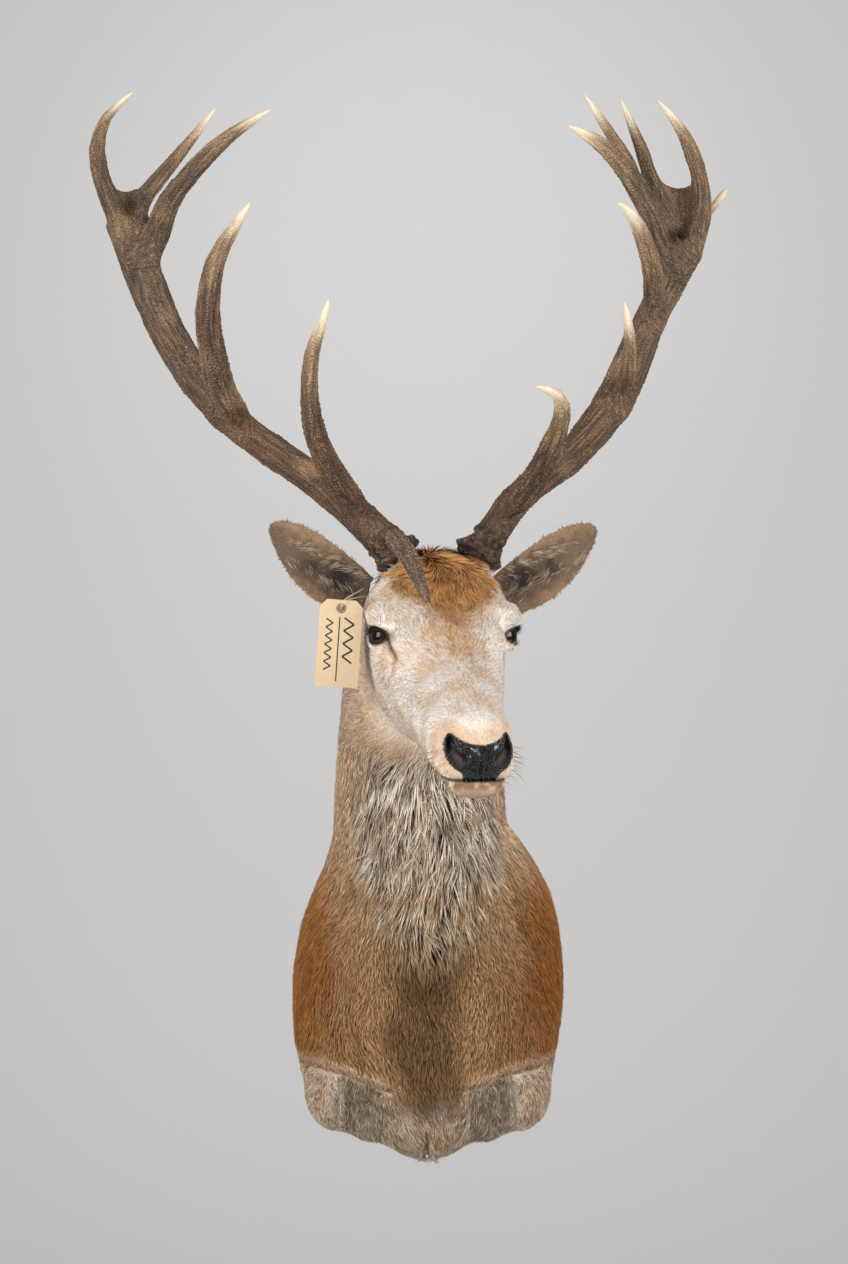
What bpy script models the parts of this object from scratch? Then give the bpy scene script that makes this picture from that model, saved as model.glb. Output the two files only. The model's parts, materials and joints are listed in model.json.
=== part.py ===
"""Red deer stag head mount: a still shoulder mount on a hidden wooden back board.

Frame: metres, +Z up. The board's back face lies in the plane y = 0 and hangs on the wall,
the stag looks along -Y with its head turned a little to its own left, which is +X.
The origin is the centre of the board's back face.
"""
import math

import bmesh
import bpy
from mathutils import Matrix, Vector

# ---------------------------------------------------------------- driving sizes (metres)
GAP = 0.0003                     # clearance between neighbouring pieces
BIG = 3.0                        # side of the boxes that part the body
FLAT_ANGLE = math.radians(2.5)   # faces that turn less than this are joined

BOARD_HALF_WIDTH = 0.130
BOARD_HALF_HEIGHT = 0.195
BOARD_THICKNESS = 0.019
BOARD_SIDES = 32
HIDE_RIM_Y = -0.003              # the hide's rim stops just short of the wall

HEAD_YAW = math.radians(10.5)    # the head's turn to the stag's left
EYE_LEVEL = 0.440                # height of the eyes over the origin
EYE_FORWARD = 0.425              # distance of the eye line from the wall
EYE_SIDE = 0.0265                # offset of the head's middle plane at the eye line
EYE_RADIUS = 0.0195
EYE_HALF_SPACING = 0.0730        # eyeball centre from the head's middle plane
EYE_SETBACK = 0.011              # eyeball centre behind the eye line

JAW_CUT_FRONT = (0.205, 0.2730)  # (forward, height) of the mouth line at the lips
JAW_CUT_SLOPE = 0.12             # its rise towards the jaw's hinge
JAW_END_FORWARD = -0.030         # where the lower jaw meets the throat
NOSE_CUT_FORWARD = 0.190         # where the bare nose pad begins
NECK_CUT_POINT = Vector((0.0, -0.288, 0.545))
NECK_CUT_NORMAL = Vector((0.17, -0.94, -0.23))
THROAT_CUT_POINT = Vector((0.0, -0.360, 0.284))
THROAT_CUT_NORMAL = Vector((0.04, -0.20, 0.98))
SHOULDER_CUT_HEIGHT = 0.150
BRISKET_CUT_HEIGHT = -0.158
LEG_CUT_ASIDE = 0.079            # from the middle of the brisket out to each leg fold

EAR_THICKNESS = 0.0045
TAG_SIZE = (0.054, 0.0008, 0.108)
TAG_CENTRE = Vector((-0.1055, -0.4150, 0.4310))
TAG_LEAN = math.radians(4.0)
TAG_TURN = math.radians(-9.0)
TAG_HOLE_DROP = 0.0105           # hole's centre below the tag's top edge
TAG_HOLE_RADIUS = 0.0032
TAG_HOLE_SIDES = 14
STRING_DIAMETER = 0.0014

FORWARD = Vector((math.sin(HEAD_YAW), -math.cos(HEAD_YAW), 0.0))
LEFT = Vector((math.cos(HEAD_YAW), math.sin(HEAD_YAW), 0.0))
EYE_LINE = Vector((EYE_SIDE, -EYE_FORWARD, EYE_LEVEL))

# ---------------------------------------------------------------- body stations
# trunk: height, middle, half width, front, back, front roundness, widest place (0 back, 1 front)
TRUNK = (
    (-0.214, 0.006, 0.095, -0.215, -0.060, 2.0, 0.45),
    (-0.207, 0.007, 0.128, -0.262, HIDE_RIM_Y, 2.0, 0.42),
    (-0.185, 0.006, 0.153, -0.305, HIDE_RIM_Y, 2.0, 0.40),
    (-0.150, 0.004, 0.168, -0.340, HIDE_RIM_Y, 2.0, 0.38),
    (-0.100, 0.003, 0.179, -0.357, HIDE_RIM_Y, 1.95, 0.36),
    (-0.050, 0.005, 0.184, -0.366, HIDE_RIM_Y, 1.85, 0.34),
    (0.000, 0.006, 0.183, -0.371, HIDE_RIM_Y, 1.75, 0.32),
    (0.055, 0.008, 0.175, -0.373, HIDE_RIM_Y, 1.70, 0.30),
    (0.100, 0.010, 0.160, -0.373, HIDE_RIM_Y, 1.70, 0.30),
    (0.140, 0.0075, 0.140, -0.371, HIDE_RIM_Y, 1.80, 0.34),
    (0.172, 0.001, 0.125, -0.368, -0.006, 1.95, 0.40),
    (0.198, -0.0055, 0.115, -0.365, -0.012, 2.0, 0.43),
    (0.225, -0.006, 0.114, -0.363, -0.022, 2.0, 0.46),
    (0.270, -0.006, 0.111, -0.366, -0.050, 2.0, 0.50),
    (0.320, -0.005, 0.108, -0.376, -0.088, 2.0, 0.50),
    (0.380, -0.003, 0.103, -0.386, -0.134, 2.0, 0.50),
    (0.440, 0.000, 0.092, -0.388, -0.182, 2.0, 0.50),
    (0.490, 0.002, 0.076, -0.380, -0.226, 2.0, 0.50),
    (0.530, 0.004, 0.045, -0.360, -0.276, 2.0, 0.50),
)
# head: forward from the eye line, top, widest level, underside, half width, roundness above, below
HEAD = (
    (-0.168, 0.505, 0.440, 0.370, 0.060, 2.0, 2.0),
    (-0.130, 0.541, 0.448, 0.332, 0.080, 2.0, 2.0),
    (-0.095, 0.555, 0.455, 0.311, 0.090, 2.0, 1.9),
    (-0.055, 0.543, 0.455, 0.297, 0.096, 2.1, 1.8),
    (-0.020, 0.514, 0.448, 0.289, 0.092, 2.2, 1.65),
    (0.020, 0.480, 0.425, 0.283, 0.082, 2.2, 1.7),
    (0.055, 0.447, 0.396, 0.278, 0.070, 2.1, 1.8),
    (0.090, 0.416, 0.366, 0.272, 0.061, 2.1, 2.0),
    (0.125, 0.388, 0.340, 0.265, 0.054, 2.1, 2.2),
    (0.160, 0.361, 0.320, 0.257, 0.050, 2.2, 2.4),
    (0.188, 0.341, 0.308, 0.251, 0.0475, 2.3, 2.4),
    (0.207, 0.328, 0.303, 0.257, 0.043, 2.4, 2.2),
    (0.219, 0.314, 0.300, 0.272, 0.031, 2.3, 2.0),
)
HEAD_FRONT = (0.223, 0.296)      # (forward, height) of the foremost point

# rounded masses that swell out of the body: centre, radii
BRISKET_LOBE = (Vector((0.003, -0.232, -0.165)), Vector((0.084, 0.086, 0.080)))
LEG_STUMP = (Vector((0.118, -0.185, -0.158)), Vector((0.048, 0.105, 0.057)))
ARMPIT = (Vector((0.074, -0.195, -0.160)), Vector((0.050, 0.094, 0.069)))
LEG_STUMP_MIDDLE = 0.005
CHEEK_SWELL = 0.05               # how much wider the right cheek is below the eye
CHEEK_TUCK = 0.18                # how much slimmer the left one is
CHEEK_MIDDLE = -0.010            # forward place of both
CHEEK_REACH = 0.110              # and how far they fade out, forward and back
CHEEK_HEIGHTS = (0.440, 0.400)   # where they begin and are full
BROW = (Vector((-0.014, 0.079, 0.466)), Vector((0.030, 0.022, 0.017)))  # forward, aside, height
PEDICLE_RADIUS = 0.026

# ear stations: along (0 root, 1 tip), width, shift of its middle, depth of its hollow
EAR = (
    (0.00, 0.040, 0.000, 0.022),
    (0.12, 0.056, -0.004, 0.026),
    (0.28, 0.068, -0.006, 0.024),
    (0.46, 0.072, -0.006, 0.019),
    (0.64, 0.067, -0.003, 0.014),
    (0.80, 0.052, 0.001, 0.009),
    (0.92, 0.033, 0.003, 0.005),
    (0.985, 0.014, 0.003, 0.002),
)
EAR_ROOT = Vector((-0.088, 0.070, 0.480))       # forward, aside, height
EAR_TIP = Vector((-0.070, 0.211, 0.576))
EAR_FACING = 0.10                               # how far the hollow turns outwards

# ---------------------------------------------------------------- antlers
# every branch: points on its middle line from root to tip, then radius across and radius deep
# at the root, at the middle and at the tip
BRANCHES_RIGHT = {
    "antler_right_lower_beam": (((-0.039, -0.349, 0.548), (-0.079, -0.343, 0.587),
                                 (-0.128, -0.315, 0.631), (-0.179, -0.282, 0.667),
                                 (-0.229, -0.252, 0.703), (-0.262, -0.235, 0.732)),
                                (0.0255, 0.0250), (0.0215, 0.0215), (0.0240, 0.0220)),
    "antler_right_upper_beam": (((-0.2625, -0.235, 0.7325), (-0.300, -0.216, 0.778),
                                 (-0.335, -0.202, 0.834), (-0.361, -0.196, 0.893),
                                 (-0.381, -0.196, 0.952), (-0.392, -0.200, 0.990)),
                                (0.0240, 0.0220), (0.0250, 0.0190), (0.0330, 0.0180)),
    "antler_right_brow_tine": (((-0.050, -0.370, 0.560), (-0.038, -0.402, 0.562),
                                (-0.020, -0.432, 0.540), (-0.006, -0.456, 0.508),
                                (0.004, -0.470, 0.483)),
                               (0.0150, 0.0150), (0.0135, 0.0120), (0.0045, 0.0045)),
    "antler_right_bez_tine": (((-0.077, -0.352, 0.588), (-0.106, -0.405, 0.630),
                               (-0.131, -0.455, 0.680), (-0.139, -0.490, 0.727),
                               (-0.1355, -0.515, 0.779), (-0.1225, -0.528, 0.814),
                               (-0.1145, -0.534, 0.843)),
                              (0.0210, 0.0190), (0.0125, 0.0125), (0.0018, 0.0018)),
    "antler_right_trez_tine": (((-0.232, -0.262, 0.706), (-0.256, -0.305, 0.748),
                                (-0.267, -0.345, 0.796), (-0.2715, -0.380, 0.849),
                                (-0.260, -0.402, 0.906), (-0.2355, -0.412, 0.947),
                                (-0.2165, -0.415, 0.977)),
                               (0.0210, 0.0200), (0.0170, 0.0160), (0.0018, 0.0018)),
    "antler_right_crown_outer": (((-0.389, -0.204, 0.962), (-0.407, -0.208, 1.000),
                                  (-0.421, -0.212, 1.034), (-0.4275, -0.230, 1.076),
                                  (-0.411, -0.258, 1.113), (-0.375, -0.287, 1.1385)),
                                 (0.0190, 0.0160), (0.0125, 0.0120), (0.0018, 0.0018)),
    "antler_right_crown_back": (((-0.390, -0.196, 0.968), (-0.3755, -0.184, 1.0136),
                                 (-0.3540, -0.172, 1.0440), (-0.3130, -0.156, 1.0980),
                                 (-0.2785, -0.150, 1.1437)),
                                (0.0210, 0.0150), (0.0118, 0.0105), (0.0018, 0.0018)),
    "antler_right_crown_inner": (((-0.3580, -0.207, 0.940), (-0.3410, -0.234, 0.9880),
                                  (-0.3195, -0.252, 1.0215), (-0.2710, -0.285, 1.0660),
                                  (-0.2330, -0.305, 1.0910), (-0.1955, -0.320, 1.1103)),
                                 (0.0200, 0.0170), (0.0132, 0.0125), (0.0018, 0.0018)),
}
BRANCHES_LEFT = {
    "antler_left_lower_beam": (((0.074, -0.335, 0.550), (0.105, -0.322, 0.598),
                                (0.137, -0.300, 0.632), (0.183, -0.272, 0.666),
                                (0.223, -0.247, 0.711), (0.2445, -0.236, 0.740)),
                               (0.0225, 0.0235), (0.0205, 0.0210), (0.0290, 0.0205)),
    "antler_left_upper_beam": (((0.2450, -0.2358, 0.7405), (0.2615, -0.229, 0.772),
                                (0.2845, -0.220, 0.827), (0.3065, -0.214, 0.875),
                                (0.334, -0.209, 0.922), (0.352, -0.206, 0.950)),
                               (0.0290, 0.0205), (0.0235, 0.0195), (0.0205, 0.0200)),
    "antler_left_bez_tine": (((0.103, -0.330, 0.590), (0.136, -0.398, 0.632),
                              (0.156, -0.460, 0.672), (0.1665, -0.508, 0.703),
                              (0.160, -0.545, 0.728), (0.134, -0.562, 0.7365)),
                             (0.0190, 0.0180), (0.0135, 0.0130), (0.0020, 0.0020)),
    "antler_left_trez_tine": (((0.262, -0.243, 0.752), (0.263, -0.300, 0.782),
                               (0.260, -0.348, 0.822), (0.252, -0.370, 0.859)),
                              (0.0150, 0.0150), (0.0095, 0.0095), (0.0018, 0.0018)),
    "antler_left_fourth_tine": (((0.300, -0.224, 0.848), (0.2965, -0.266, 0.905),
                                 (0.282, -0.300, 0.947), (0.265, -0.320, 0.976),
                                 (0.2475, -0.330, 0.990)),
                                (0.0180, 0.0170), (0.0120, 0.0115), (0.0018, 0.0018)),
    "antler_left_crown_inner": (((0.334, -0.214, 0.918), (0.310, -0.234, 0.966),
                                 (0.285, -0.250, 1.008), (0.254, -0.268, 1.052),
                                 (0.218, -0.287, 1.079), (0.186, -0.300, 1.093)),
                                (0.0210, 0.0180), (0.0165, 0.0130), (0.0018, 0.0018)),
    "antler_left_crown_second": (((0.284, -0.240, 1.013), (0.2645, -0.228, 1.060),
                                  (0.242, -0.214, 1.103), (0.2120, -0.205, 1.151)),
                                 (0.0150, 0.0120), (0.0095, 0.0090), (0.0017, 0.0017)),
    "antler_left_crown_third": (((0.319, -0.223, 0.972), (0.302, -0.206, 1.030),
                                 (0.284, -0.193, 1.090), (0.2605, -0.185, 1.1485)),
                                (0.0200, 0.0120), (0.0110, 0.0095), (0.0017, 0.0017)),
    "antler_left_crown_outer": (((0.348, -0.207, 0.944), (0.364, -0.209, 0.990),
                                 (0.3620, -0.215, 1.035), (0.3490, -0.225, 1.076),
                                 (0.3300, -0.237, 1.108), (0.3050, -0.250, 1.1345)),
                                (0.0190, 0.0180), (0.0120, 0.0120), (0.0018, 0.0018)),
    "antler_left_spur": (((0.366, -0.204, 0.985), (0.386, -0.186, 1.012),
                          (0.4020, -0.175, 1.033)),
                         (0.0110, 0.0100), (0.0070, 0.0070), (0.0017, 0.0017)),
}
# the thin webs of bone between two tines of each crown: centre and radii of the plate, and of
# the round bay cut into its upper edge
WEBS = {
    "left": (Vector((0.331, -0.200, 0.990)), Vector((0.038, 0.0095, 0.062)),
             Vector((0.335, -0.200, 1.067)), Vector((0.034, 0.030, 0.038))),
    "right": (Vector((-0.392, -0.198, 1.005)), Vector((0.026, 0.0090, 0.040)),
              Vector((-0.394, -0.200, 1.063)), Vector((0.028, 0.030, 0.039))),
}
WEB_DETAIL = (8, 6)              # points round and up the plates and bays
BEAM_SIDES = 10
TINE_SIDES = 8
BURR_RADIUS = 0.0335
BURR_HEIGHT = 0.017
BURR_KNOBS = 7
TINE_POINT = 0.0022              # rounded point past the last ring


# ---------------------------------------------------------------- scene and materials
def clear_scene():
    for obj in list(bpy.data.objects):
        bpy.data.objects.remove(obj, do_unlink=True)


def collection(name):
    group = bpy.data.collections.new(name)
    bpy.context.scene.collection.children.link(group)
    return group


def material(name, colour, roughness, metallic=0.0):
    mat = bpy.data.materials.new(name)
    mat.use_nodes = True
    shader = mat.node_tree.nodes["Principled BSDF"]
    shader.inputs["Base Color"].default_value = (*colour, 1.0)
    shader.inputs["Roughness"].default_value = roughness
    shader.inputs["Metallic"].default_value = metallic
    return mat


def add_object(name, mesh):
    obj = bpy.data.objects.new(name, mesh)
    bpy.context.scene.collection.objects.link(obj)
    return obj


# ---------------------------------------------------------------- curves through stations
def catmull(before, start, end, after, t):
    """Catmull-Rom value between start and end, for a number."""
    return 0.5 * (2 * start + (end - before) * t
                  + (2 * before - 5 * start + 4 * end - after) * t * t
                  + (3 * start - before - 3 * end + after) * t ** 3)


def smooth_stations(stations, steps):
    """Rows of numbers, with steps new rows between each pair of stations."""
    rows = []
    last = len(stations) - 1
    for index in range(last):
        window = [stations[max(0, min(last, index + shift))] for shift in (-1, 0, 1, 2)]
        for step in range(steps):
            rows.append([catmull(*values, step / steps) for values in zip(*window)])
    rows.append(list(stations[last]))
    return rows


def signed_power(value, power):
    return math.copysign(abs(value) ** power, value)


def oval(sides, roundness_up, roundness_down):
    """Unit superellipse, with its own roundness above and below its widest line."""
    points = []
    for index in range(sides):
        angle = 2 * math.pi * index / sides
        across, up = math.cos(angle), math.sin(angle)
        power = 2 / (roundness_up if up >= 0 else roundness_down)
        points.append((signed_power(across, power), signed_power(up, power)))
    return points


# ---------------------------------------------------------------- meshes
def loft(name, rings, start_point=None, end_point=None):
    """A closed body through rings of equal count; an end closes on a point or on a flat cap."""
    form = bmesh.new()
    loops = [[form.verts.new(point) for point in ring] for ring in rings]
    count = len(loops[0])
    for lower, upper in zip(loops, loops[1:]):
        for index in range(count):
            after = (index + 1) % count
            form.faces.new((lower[index], lower[after], upper[after], upper[index]))
    for loop, point in ((loops[0], start_point), (loops[-1], end_point)):
        if point is None:
            form.faces.new(loop)
            continue
        pole = form.verts.new(point)
        for index in range(count):
            form.faces.new((loop[index], loop[(index + 1) % count], pole))
    bmesh.ops.recalc_face_normals(form, faces=form.faces)
    bmesh.ops.triangulate(form, faces=[face for face in form.faces if len(face.verts) > 4])
    mesh = bpy.data.meshes.new(name)
    form.to_mesh(mesh)
    form.free()
    return add_object(name, mesh)


def ellipsoid(name, centre, radii, turn=0.0, detail=(12, 8)):
    form = bmesh.new()
    bmesh.ops.create_uvsphere(form, u_segments=detail[0], v_segments=detail[1], radius=1.0)
    place = Matrix.Translation(centre) @ Matrix.Rotation(turn, 4, "Z") @ Matrix.Diagonal((*radii, 1))
    bmesh.ops.transform(form, matrix=place, verts=form.verts)
    mesh = bpy.data.meshes.new(name)
    form.to_mesh(mesh)
    form.free()
    return add_object(name, mesh)


def tidy_mesh(obj):
    form = bmesh.new()
    form.from_mesh(obj.data)
    bmesh.ops.remove_doubles(form, verts=form.verts, dist=2e-5)
    bmesh.ops.dissolve_degenerate(form, dist=2e-5, edges=form.edges)
    bmesh.ops.triangulate(form, faces=form.faces)
    form.to_mesh(obj.data)
    form.free()


def keep_largest(obj):
    """Drops every loose piece of the mesh but the one with the most points."""
    form = bmesh.new()
    form.from_mesh(obj.data)
    left = set(form.verts)
    islands = []
    while left:
        island = set()
        front = [next(iter(left))]
        while front:
            vert = front.pop()
            if vert in island:
                continue
            island.add(vert)
            front += [edge.other_vert(vert) for edge in vert.link_edges]
        islands.append(island)
        left -= island
    largest = max(islands, key=len)
    bmesh.ops.delete(form, geom=[vert for vert in form.verts if vert not in largest], context="VERTS")
    form.to_mesh(obj.data)
    form.free()


def thin_flats(obj):
    """Joins the slivers that the cuts leave on nearly flat places."""
    form = bmesh.new()
    form.from_mesh(obj.data)
    bmesh.ops.dissolve_limit(form, angle_limit=FLAT_ANGLE, verts=form.verts, edges=form.edges)
    bmesh.ops.triangulate(form, faces=form.faces)
    form.to_mesh(obj.data)
    form.free()


def carve(obj, cutter, operation="DIFFERENCE", keep_cutter=False):
    """Boolean of obj with cutter, taken into obj's own mesh."""
    modifier = obj.modifiers.new("boolean", "BOOLEAN")
    modifier.operation = operation
    modifier.object = cutter
    modifier.solver = "EXACT"
    bpy.context.view_layer.update()
    graph = bpy.context.evaluated_depsgraph_get()
    mesh = bpy.data.meshes.new_from_object(obj.evaluated_get(graph))
    obj.modifiers.clear()
    obj.data = mesh
    tidy_mesh(obj)
    if not keep_cutter:
        bpy.data.objects.remove(cutter, do_unlink=True)
    return obj


def duplicate(obj, name):
    copy = add_object(name, obj.data.copy())
    copy.matrix_world = obj.matrix_world.copy()
    return copy


def fattened(obj, name, by=GAP):
    """A copy grown along its normals, used to cut a neighbour clear of obj."""
    copy = duplicate(obj, name)
    form = bmesh.new()
    form.from_mesh(copy.data)
    form.normal_update()
    moves = [(vert, vert.normal * by * 1.3) for vert in form.verts]
    for vert, move in moves:
        vert.co += move
    form.to_mesh(copy.data)
    form.free()
    return copy


def half_space(name, point, normal, offset):
    """A large box that fills the side of a plane that its normal points to."""
    bpy.ops.mesh.primitive_cube_add(size=BIG)
    box = bpy.context.active_object
    box.name = name
    normal = normal.normalized()
    turn = Vector((0, 0, 1)).rotation_difference(normal).to_matrix().to_4x4()
    box.data.transform(Matrix.Translation(point + normal * (BIG / 2 + offset)) @ turn)
    return box


def region(planes, offset):
    """The space on the normals' side of every plane, shrunk by offset."""
    point, normal = planes[0]
    space = half_space("region", point, normal, offset)
    for point, normal in planes[1:]:
        carve(space, half_space("cutter", point, normal, offset), "INTERSECT")
    return space


def part_off(obj, planes, name):
    """Cuts off what lies on the normals' side of all planes as a new object; obj keeps the rest."""
    piece = duplicate(obj, name)
    carve(piece, region(planes, GAP / 2), "INTERSECT")
    carve(obj, region(planes, -GAP / 2))
    return piece


# ---------------------------------------------------------------- flesh
def head_place(forward, aside, height):
    """World place of a point given in the head's own directions."""
    return Vector((EYE_LINE.x, EYE_LINE.y, 0)) + FORWARD * forward + LEFT * aside + Vector((0, 0, height))


def trunk_form():
    rings = []
    for row in TRUNK:
        height, middle, half_width, front, back, front_round, widest = row
        y_middle = back + (front - back) * widest
        back_round = 2.2 if height > 0.24 else 3.6
        ring = []
        for across, deep in oval(28, front_round, back_round):
            reach = (front - y_middle) if deep >= 0 else (y_middle - back)
            ring.append((middle + half_width * across, y_middle + reach * deep, height))
        rings.append(ring)
    return loft("trunk", rings)


def cheek_share(forward, height):
    """1 at the middle of the cheeks, 0 above the eyes and far ahead or behind."""
    top, full = CHEEK_HEIGHTS
    low = min(1.0, max(0.0, (top - height) / (top - full)))
    return low * max(0.0, 1.0 - ((forward - CHEEK_MIDDLE) / CHEEK_REACH) ** 2)


def head_form():
    rings = []
    for row in HEAD:
        forward, top, level, underside, half_width, round_up, round_down = row
        ring = []
        for across, up in oval(24, round_up, round_down):
            reach = (top - level) if up >= 0 else (level - underside)
            height = level + reach * up
            change = -CHEEK_TUCK if across > 0 else CHEEK_SWELL
            aside = half_width * across * (1.0 + change * cheek_share(forward, height))
            ring.append(head_place(forward, aside, height))
        rings.append(ring)
    return loft("skull", rings, end_point=head_place(HEAD_FRONT[0], 0, HEAD_FRONT[1]))


def whole_body():
    body = trunk_form()
    carve(body, head_form(), "UNION")
    carve(body, ellipsoid("lobe", *BRISKET_LOBE), "UNION")
    for side in (-1, 1):
        for centre, radii in (LEG_STUMP, ARMPIT):
            place = Vector((LEG_STUMP_MIDDLE + side * centre.x, centre.y, centre.z))
            carve(body, ellipsoid("stump", place, radii), "UNION")
        centre, radii = BROW
        place = head_place(centre.x, side * centre.y, centre.z)
        radii = Vector((radii.y, radii.x, radii.z))
        carve(body, ellipsoid("brow", place, radii, HEAD_YAW - side * 0.35), "UNION")
    thin_flats(body)
    return body


def ear_form(side, name):
    root, tip = (head_place(place.x, side * place.y, place.z) for place in (EAR_ROOT, EAR_TIP))
    along = (tip - root)
    length = along.length
    along.normalize()
    facing = (FORWARD + LEFT * side * EAR_FACING).normalized()
    facing = (facing - along * facing.dot(along)).normalized()
    upward = facing.cross(along) * side
    steps = 7
    rings = []
    for share, width, shift, hollow in EAR:
        centre = root + along * length * share + upward * shift
        outer, inner = [], []
        for step in range(steps):
            across = math.sin(math.pi * (step / (steps - 1) - 0.5))
            curl = 1 - across * across
            thick = EAR_THICKNESS * (0.35 + 0.65 * math.sqrt(curl)) / 2
            base = centre + upward * across * width / 2 - facing * hollow * curl
            outer.append(base - facing * thick)
            inner.append(base + facing * thick)
        rings.append(outer + inner[::-1])
    return loft(name, rings, end_point=tip)


def eye_place(side):
    return head_place(-EYE_SETBACK, side * EYE_HALF_SPACING, EYE_LEVEL)


# ---------------------------------------------------------------- antlers
def branch_rings(points, sizes, sides, grow=0.0, steps=2):
    """Rings round a smooth middle line, with radii that run from root over middle to tip."""
    line = [Vector(row) for row in smooth_stations(points, steps)]
    root, middle, tip = sizes
    rings = []
    side_way = None
    for index, centre in enumerate(line):
        ahead = line[min(index + 1, len(line) - 1)] - line[max(index - 1, 0)]
        ahead.normalize()
        if side_way is None:
            side_way = Vector((0, -1, 0)).cross(ahead).normalized()
        side_way = (side_way - ahead * side_way.dot(ahead)).normalized()
        deep_way = ahead.cross(side_way)
        share = index / (len(line) - 1)
        radii = []
        for axis in (0, 1):
            if share < 0.5:
                radii.append(root[axis] + (middle[axis] - root[axis]) * share * 2)
            else:
                fall = (share * 2 - 1) ** 1.35
                radii.append(middle[axis] + (tip[axis] - middle[axis]) * fall)
        ring = []
        for step in range(sides):
            angle = 2 * math.pi * step / sides
            ring.append(centre + side_way * (radii[0] + grow) * math.cos(angle)
                        + deep_way * (radii[1] + grow) * math.sin(angle))
        rings.append(ring)
    return rings, line


def branch(name, spec, grow=0.0, label="cutter"):
    """A beam, open to its next length with flat ends, or a tine with a point."""
    points, *sizes = spec
    is_beam = name.endswith("beam")
    rings, line = branch_rings(points, sizes, BEAM_SIDES if is_beam else TINE_SIDES, grow)
    if is_beam:
        for ring, end, inner in ((rings[0], line[0], line[1]), (rings[-1], line[-1], line[-2])):
            stretch = (end - inner).normalized() * grow
            for point in ring:
                point += stretch
        return loft(label, rings)
    tip = line[-1] + (line[-1] - line[-2]).normalized() * (TINE_POINT + grow)
    return loft(label, rings, end_point=tip)


def burr(name, beam_spec, grow=0.0):
    """Knobbly collar round the antler's foot, square to the beam's start."""
    points = beam_spec[0]
    start = Vector(points[0])
    ahead = (Vector(points[1]) - start).normalized()
    side_way = Vector((0, -1, 0)).cross(ahead).normalized()
    deep_way = ahead.cross(side_way)
    profile = ((0.0, 0.74), (0.25, 0.97), (0.6, 1.0), (0.85, 0.88), (1.0, 0.78))
    sides = BURR_KNOBS * 3
    rings = []
    for share, width in profile:
        centre = start + ahead * ((share - 1) * (BURR_HEIGHT + grow) - GAP + grow * share)
        ring = []
        for step in range(sides):
            angle = 2 * math.pi * step / sides
            knob = 1 + 0.055 * math.cos(BURR_KNOBS * angle) * (1 - abs(2 * share - 1.1))
            radius = BURR_RADIUS * width * knob + grow
            ring.append(centre + side_way * radius * math.cos(angle) + deep_way * radius * math.sin(angle))
        rings.append(ring)
    return loft(name, rings)


def antler(branches, side_name):
    """One antler: burr, beam in two lengths and its tines, each cut clear of the ones before."""
    beam_spec = branches["antler_%s_lower_beam" % side_name]
    pieces = {"antler_%s_burr" % side_name: burr("antler_%s_burr" % side_name, beam_spec)}
    done = []
    for name, spec in branches.items():
        piece = branch(name, spec, label=name)
        carve(piece, burr("cutter", beam_spec, GAP))
        for other in done:
            carve(piece, branch(other, branches[other], GAP))
        pieces[name] = piece
        done.append(name)
    return pieces


def crown_web(side_name, branches):
    """The web between two crown tines, clear of every branch of its own antler."""
    centre, radii, bay_centre, bay_radii = WEBS[side_name]
    web = ellipsoid("antler_%s_crown_web" % side_name, centre, radii, detail=WEB_DETAIL)
    carve(web, ellipsoid("bay", bay_centre, bay_radii, detail=WEB_DETAIL))
    for name, spec in branches.items():
        carve(web, branch(name, spec, GAP))
    keep_largest(web)
    return web


# ---------------------------------------------------------------- made pieces
def backing_board():
    bpy.ops.mesh.primitive_cylinder_add(vertices=BOARD_SIDES, radius=1.0, depth=BOARD_THICKNESS)
    board = bpy.context.active_object
    board.name = "backing_board"
    board.data.transform(Matrix.Translation((0, -BOARD_THICKNESS / 2, 0))
                         @ Matrix.Diagonal((BOARD_HALF_WIDTH, 1, BOARD_HALF_HEIGHT, 1))
                         @ Matrix.Rotation(math.pi / 2, 4, "X"))
    return board


def tag_matrix():
    return (Matrix.Translation(TAG_CENTRE) @ Matrix.Rotation(TAG_TURN, 4, "Z")
            @ Matrix.Rotation(TAG_LEAN, 4, "Y"))


def tag_plate():
    """A card with clipped top corners and a round hole under its top edge."""
    width, thickness, height = TAG_SIZE
    clip = 0.0085
    half_w, half_h = width / 2, height / 2
    outline = [(-half_w, -half_h), (half_w, -half_h), (half_w, half_h - clip),
               (half_w - clip, half_h), (-half_w + clip, half_h), (-half_w, half_h - clip)]
    rings = [[(x, y, z) for x, z in outline] for y in (-thickness / 2, thickness / 2)]
    plate = loft("tag", rings)
    bpy.ops.mesh.primitive_cylinder_add(vertices=TAG_HOLE_SIDES, radius=TAG_HOLE_RADIUS, depth=0.02,
                                        rotation=(math.pi / 2, 0, 0),
                                        location=(0, 0, half_h - TAG_HOLE_DROP))
    carve(plate, bpy.context.active_object)
    plate.data.transform(tag_matrix())
    return plate


def string_route():
    """The string's middle line: from the ear's root through the tag's hole and back."""
    place = tag_matrix()
    hole = place @ Vector((0, 0, TAG_SIZE[2] / 2 - TAG_HOLE_DROP))
    face = (place.to_3x3() @ Vector((0, -1, 0))).normalized()
    root = head_place(-0.075, -0.088, 0.496)
    knots = (root + Vector((-0.003, 0, 0.004)), root + Vector((-0.006, -0.016, 0.001)),
             hole + face * 0.0046 + Vector((0.006, 0, 0.0115)),
             hole + face * 0.0058 + Vector((0.002, 0, 0.0045)),
             hole + face * 0.0028 + Vector((0, 0, -0.0004)),
             hole - face * 0.0028 + Vector((0.0002, 0, -0.0004)),
             hole - face * 0.0058 + Vector((0.003, 0, 0.0045)),
             hole - face * 0.0040 + Vector((0.009, 0, 0.0110)),
             root + Vector((0.002, -0.012, -0.006)), root + Vector((0.006, 0.002, -0.006)))
    return [Vector(row) for row in smooth_stations(knots, 3)]


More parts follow.
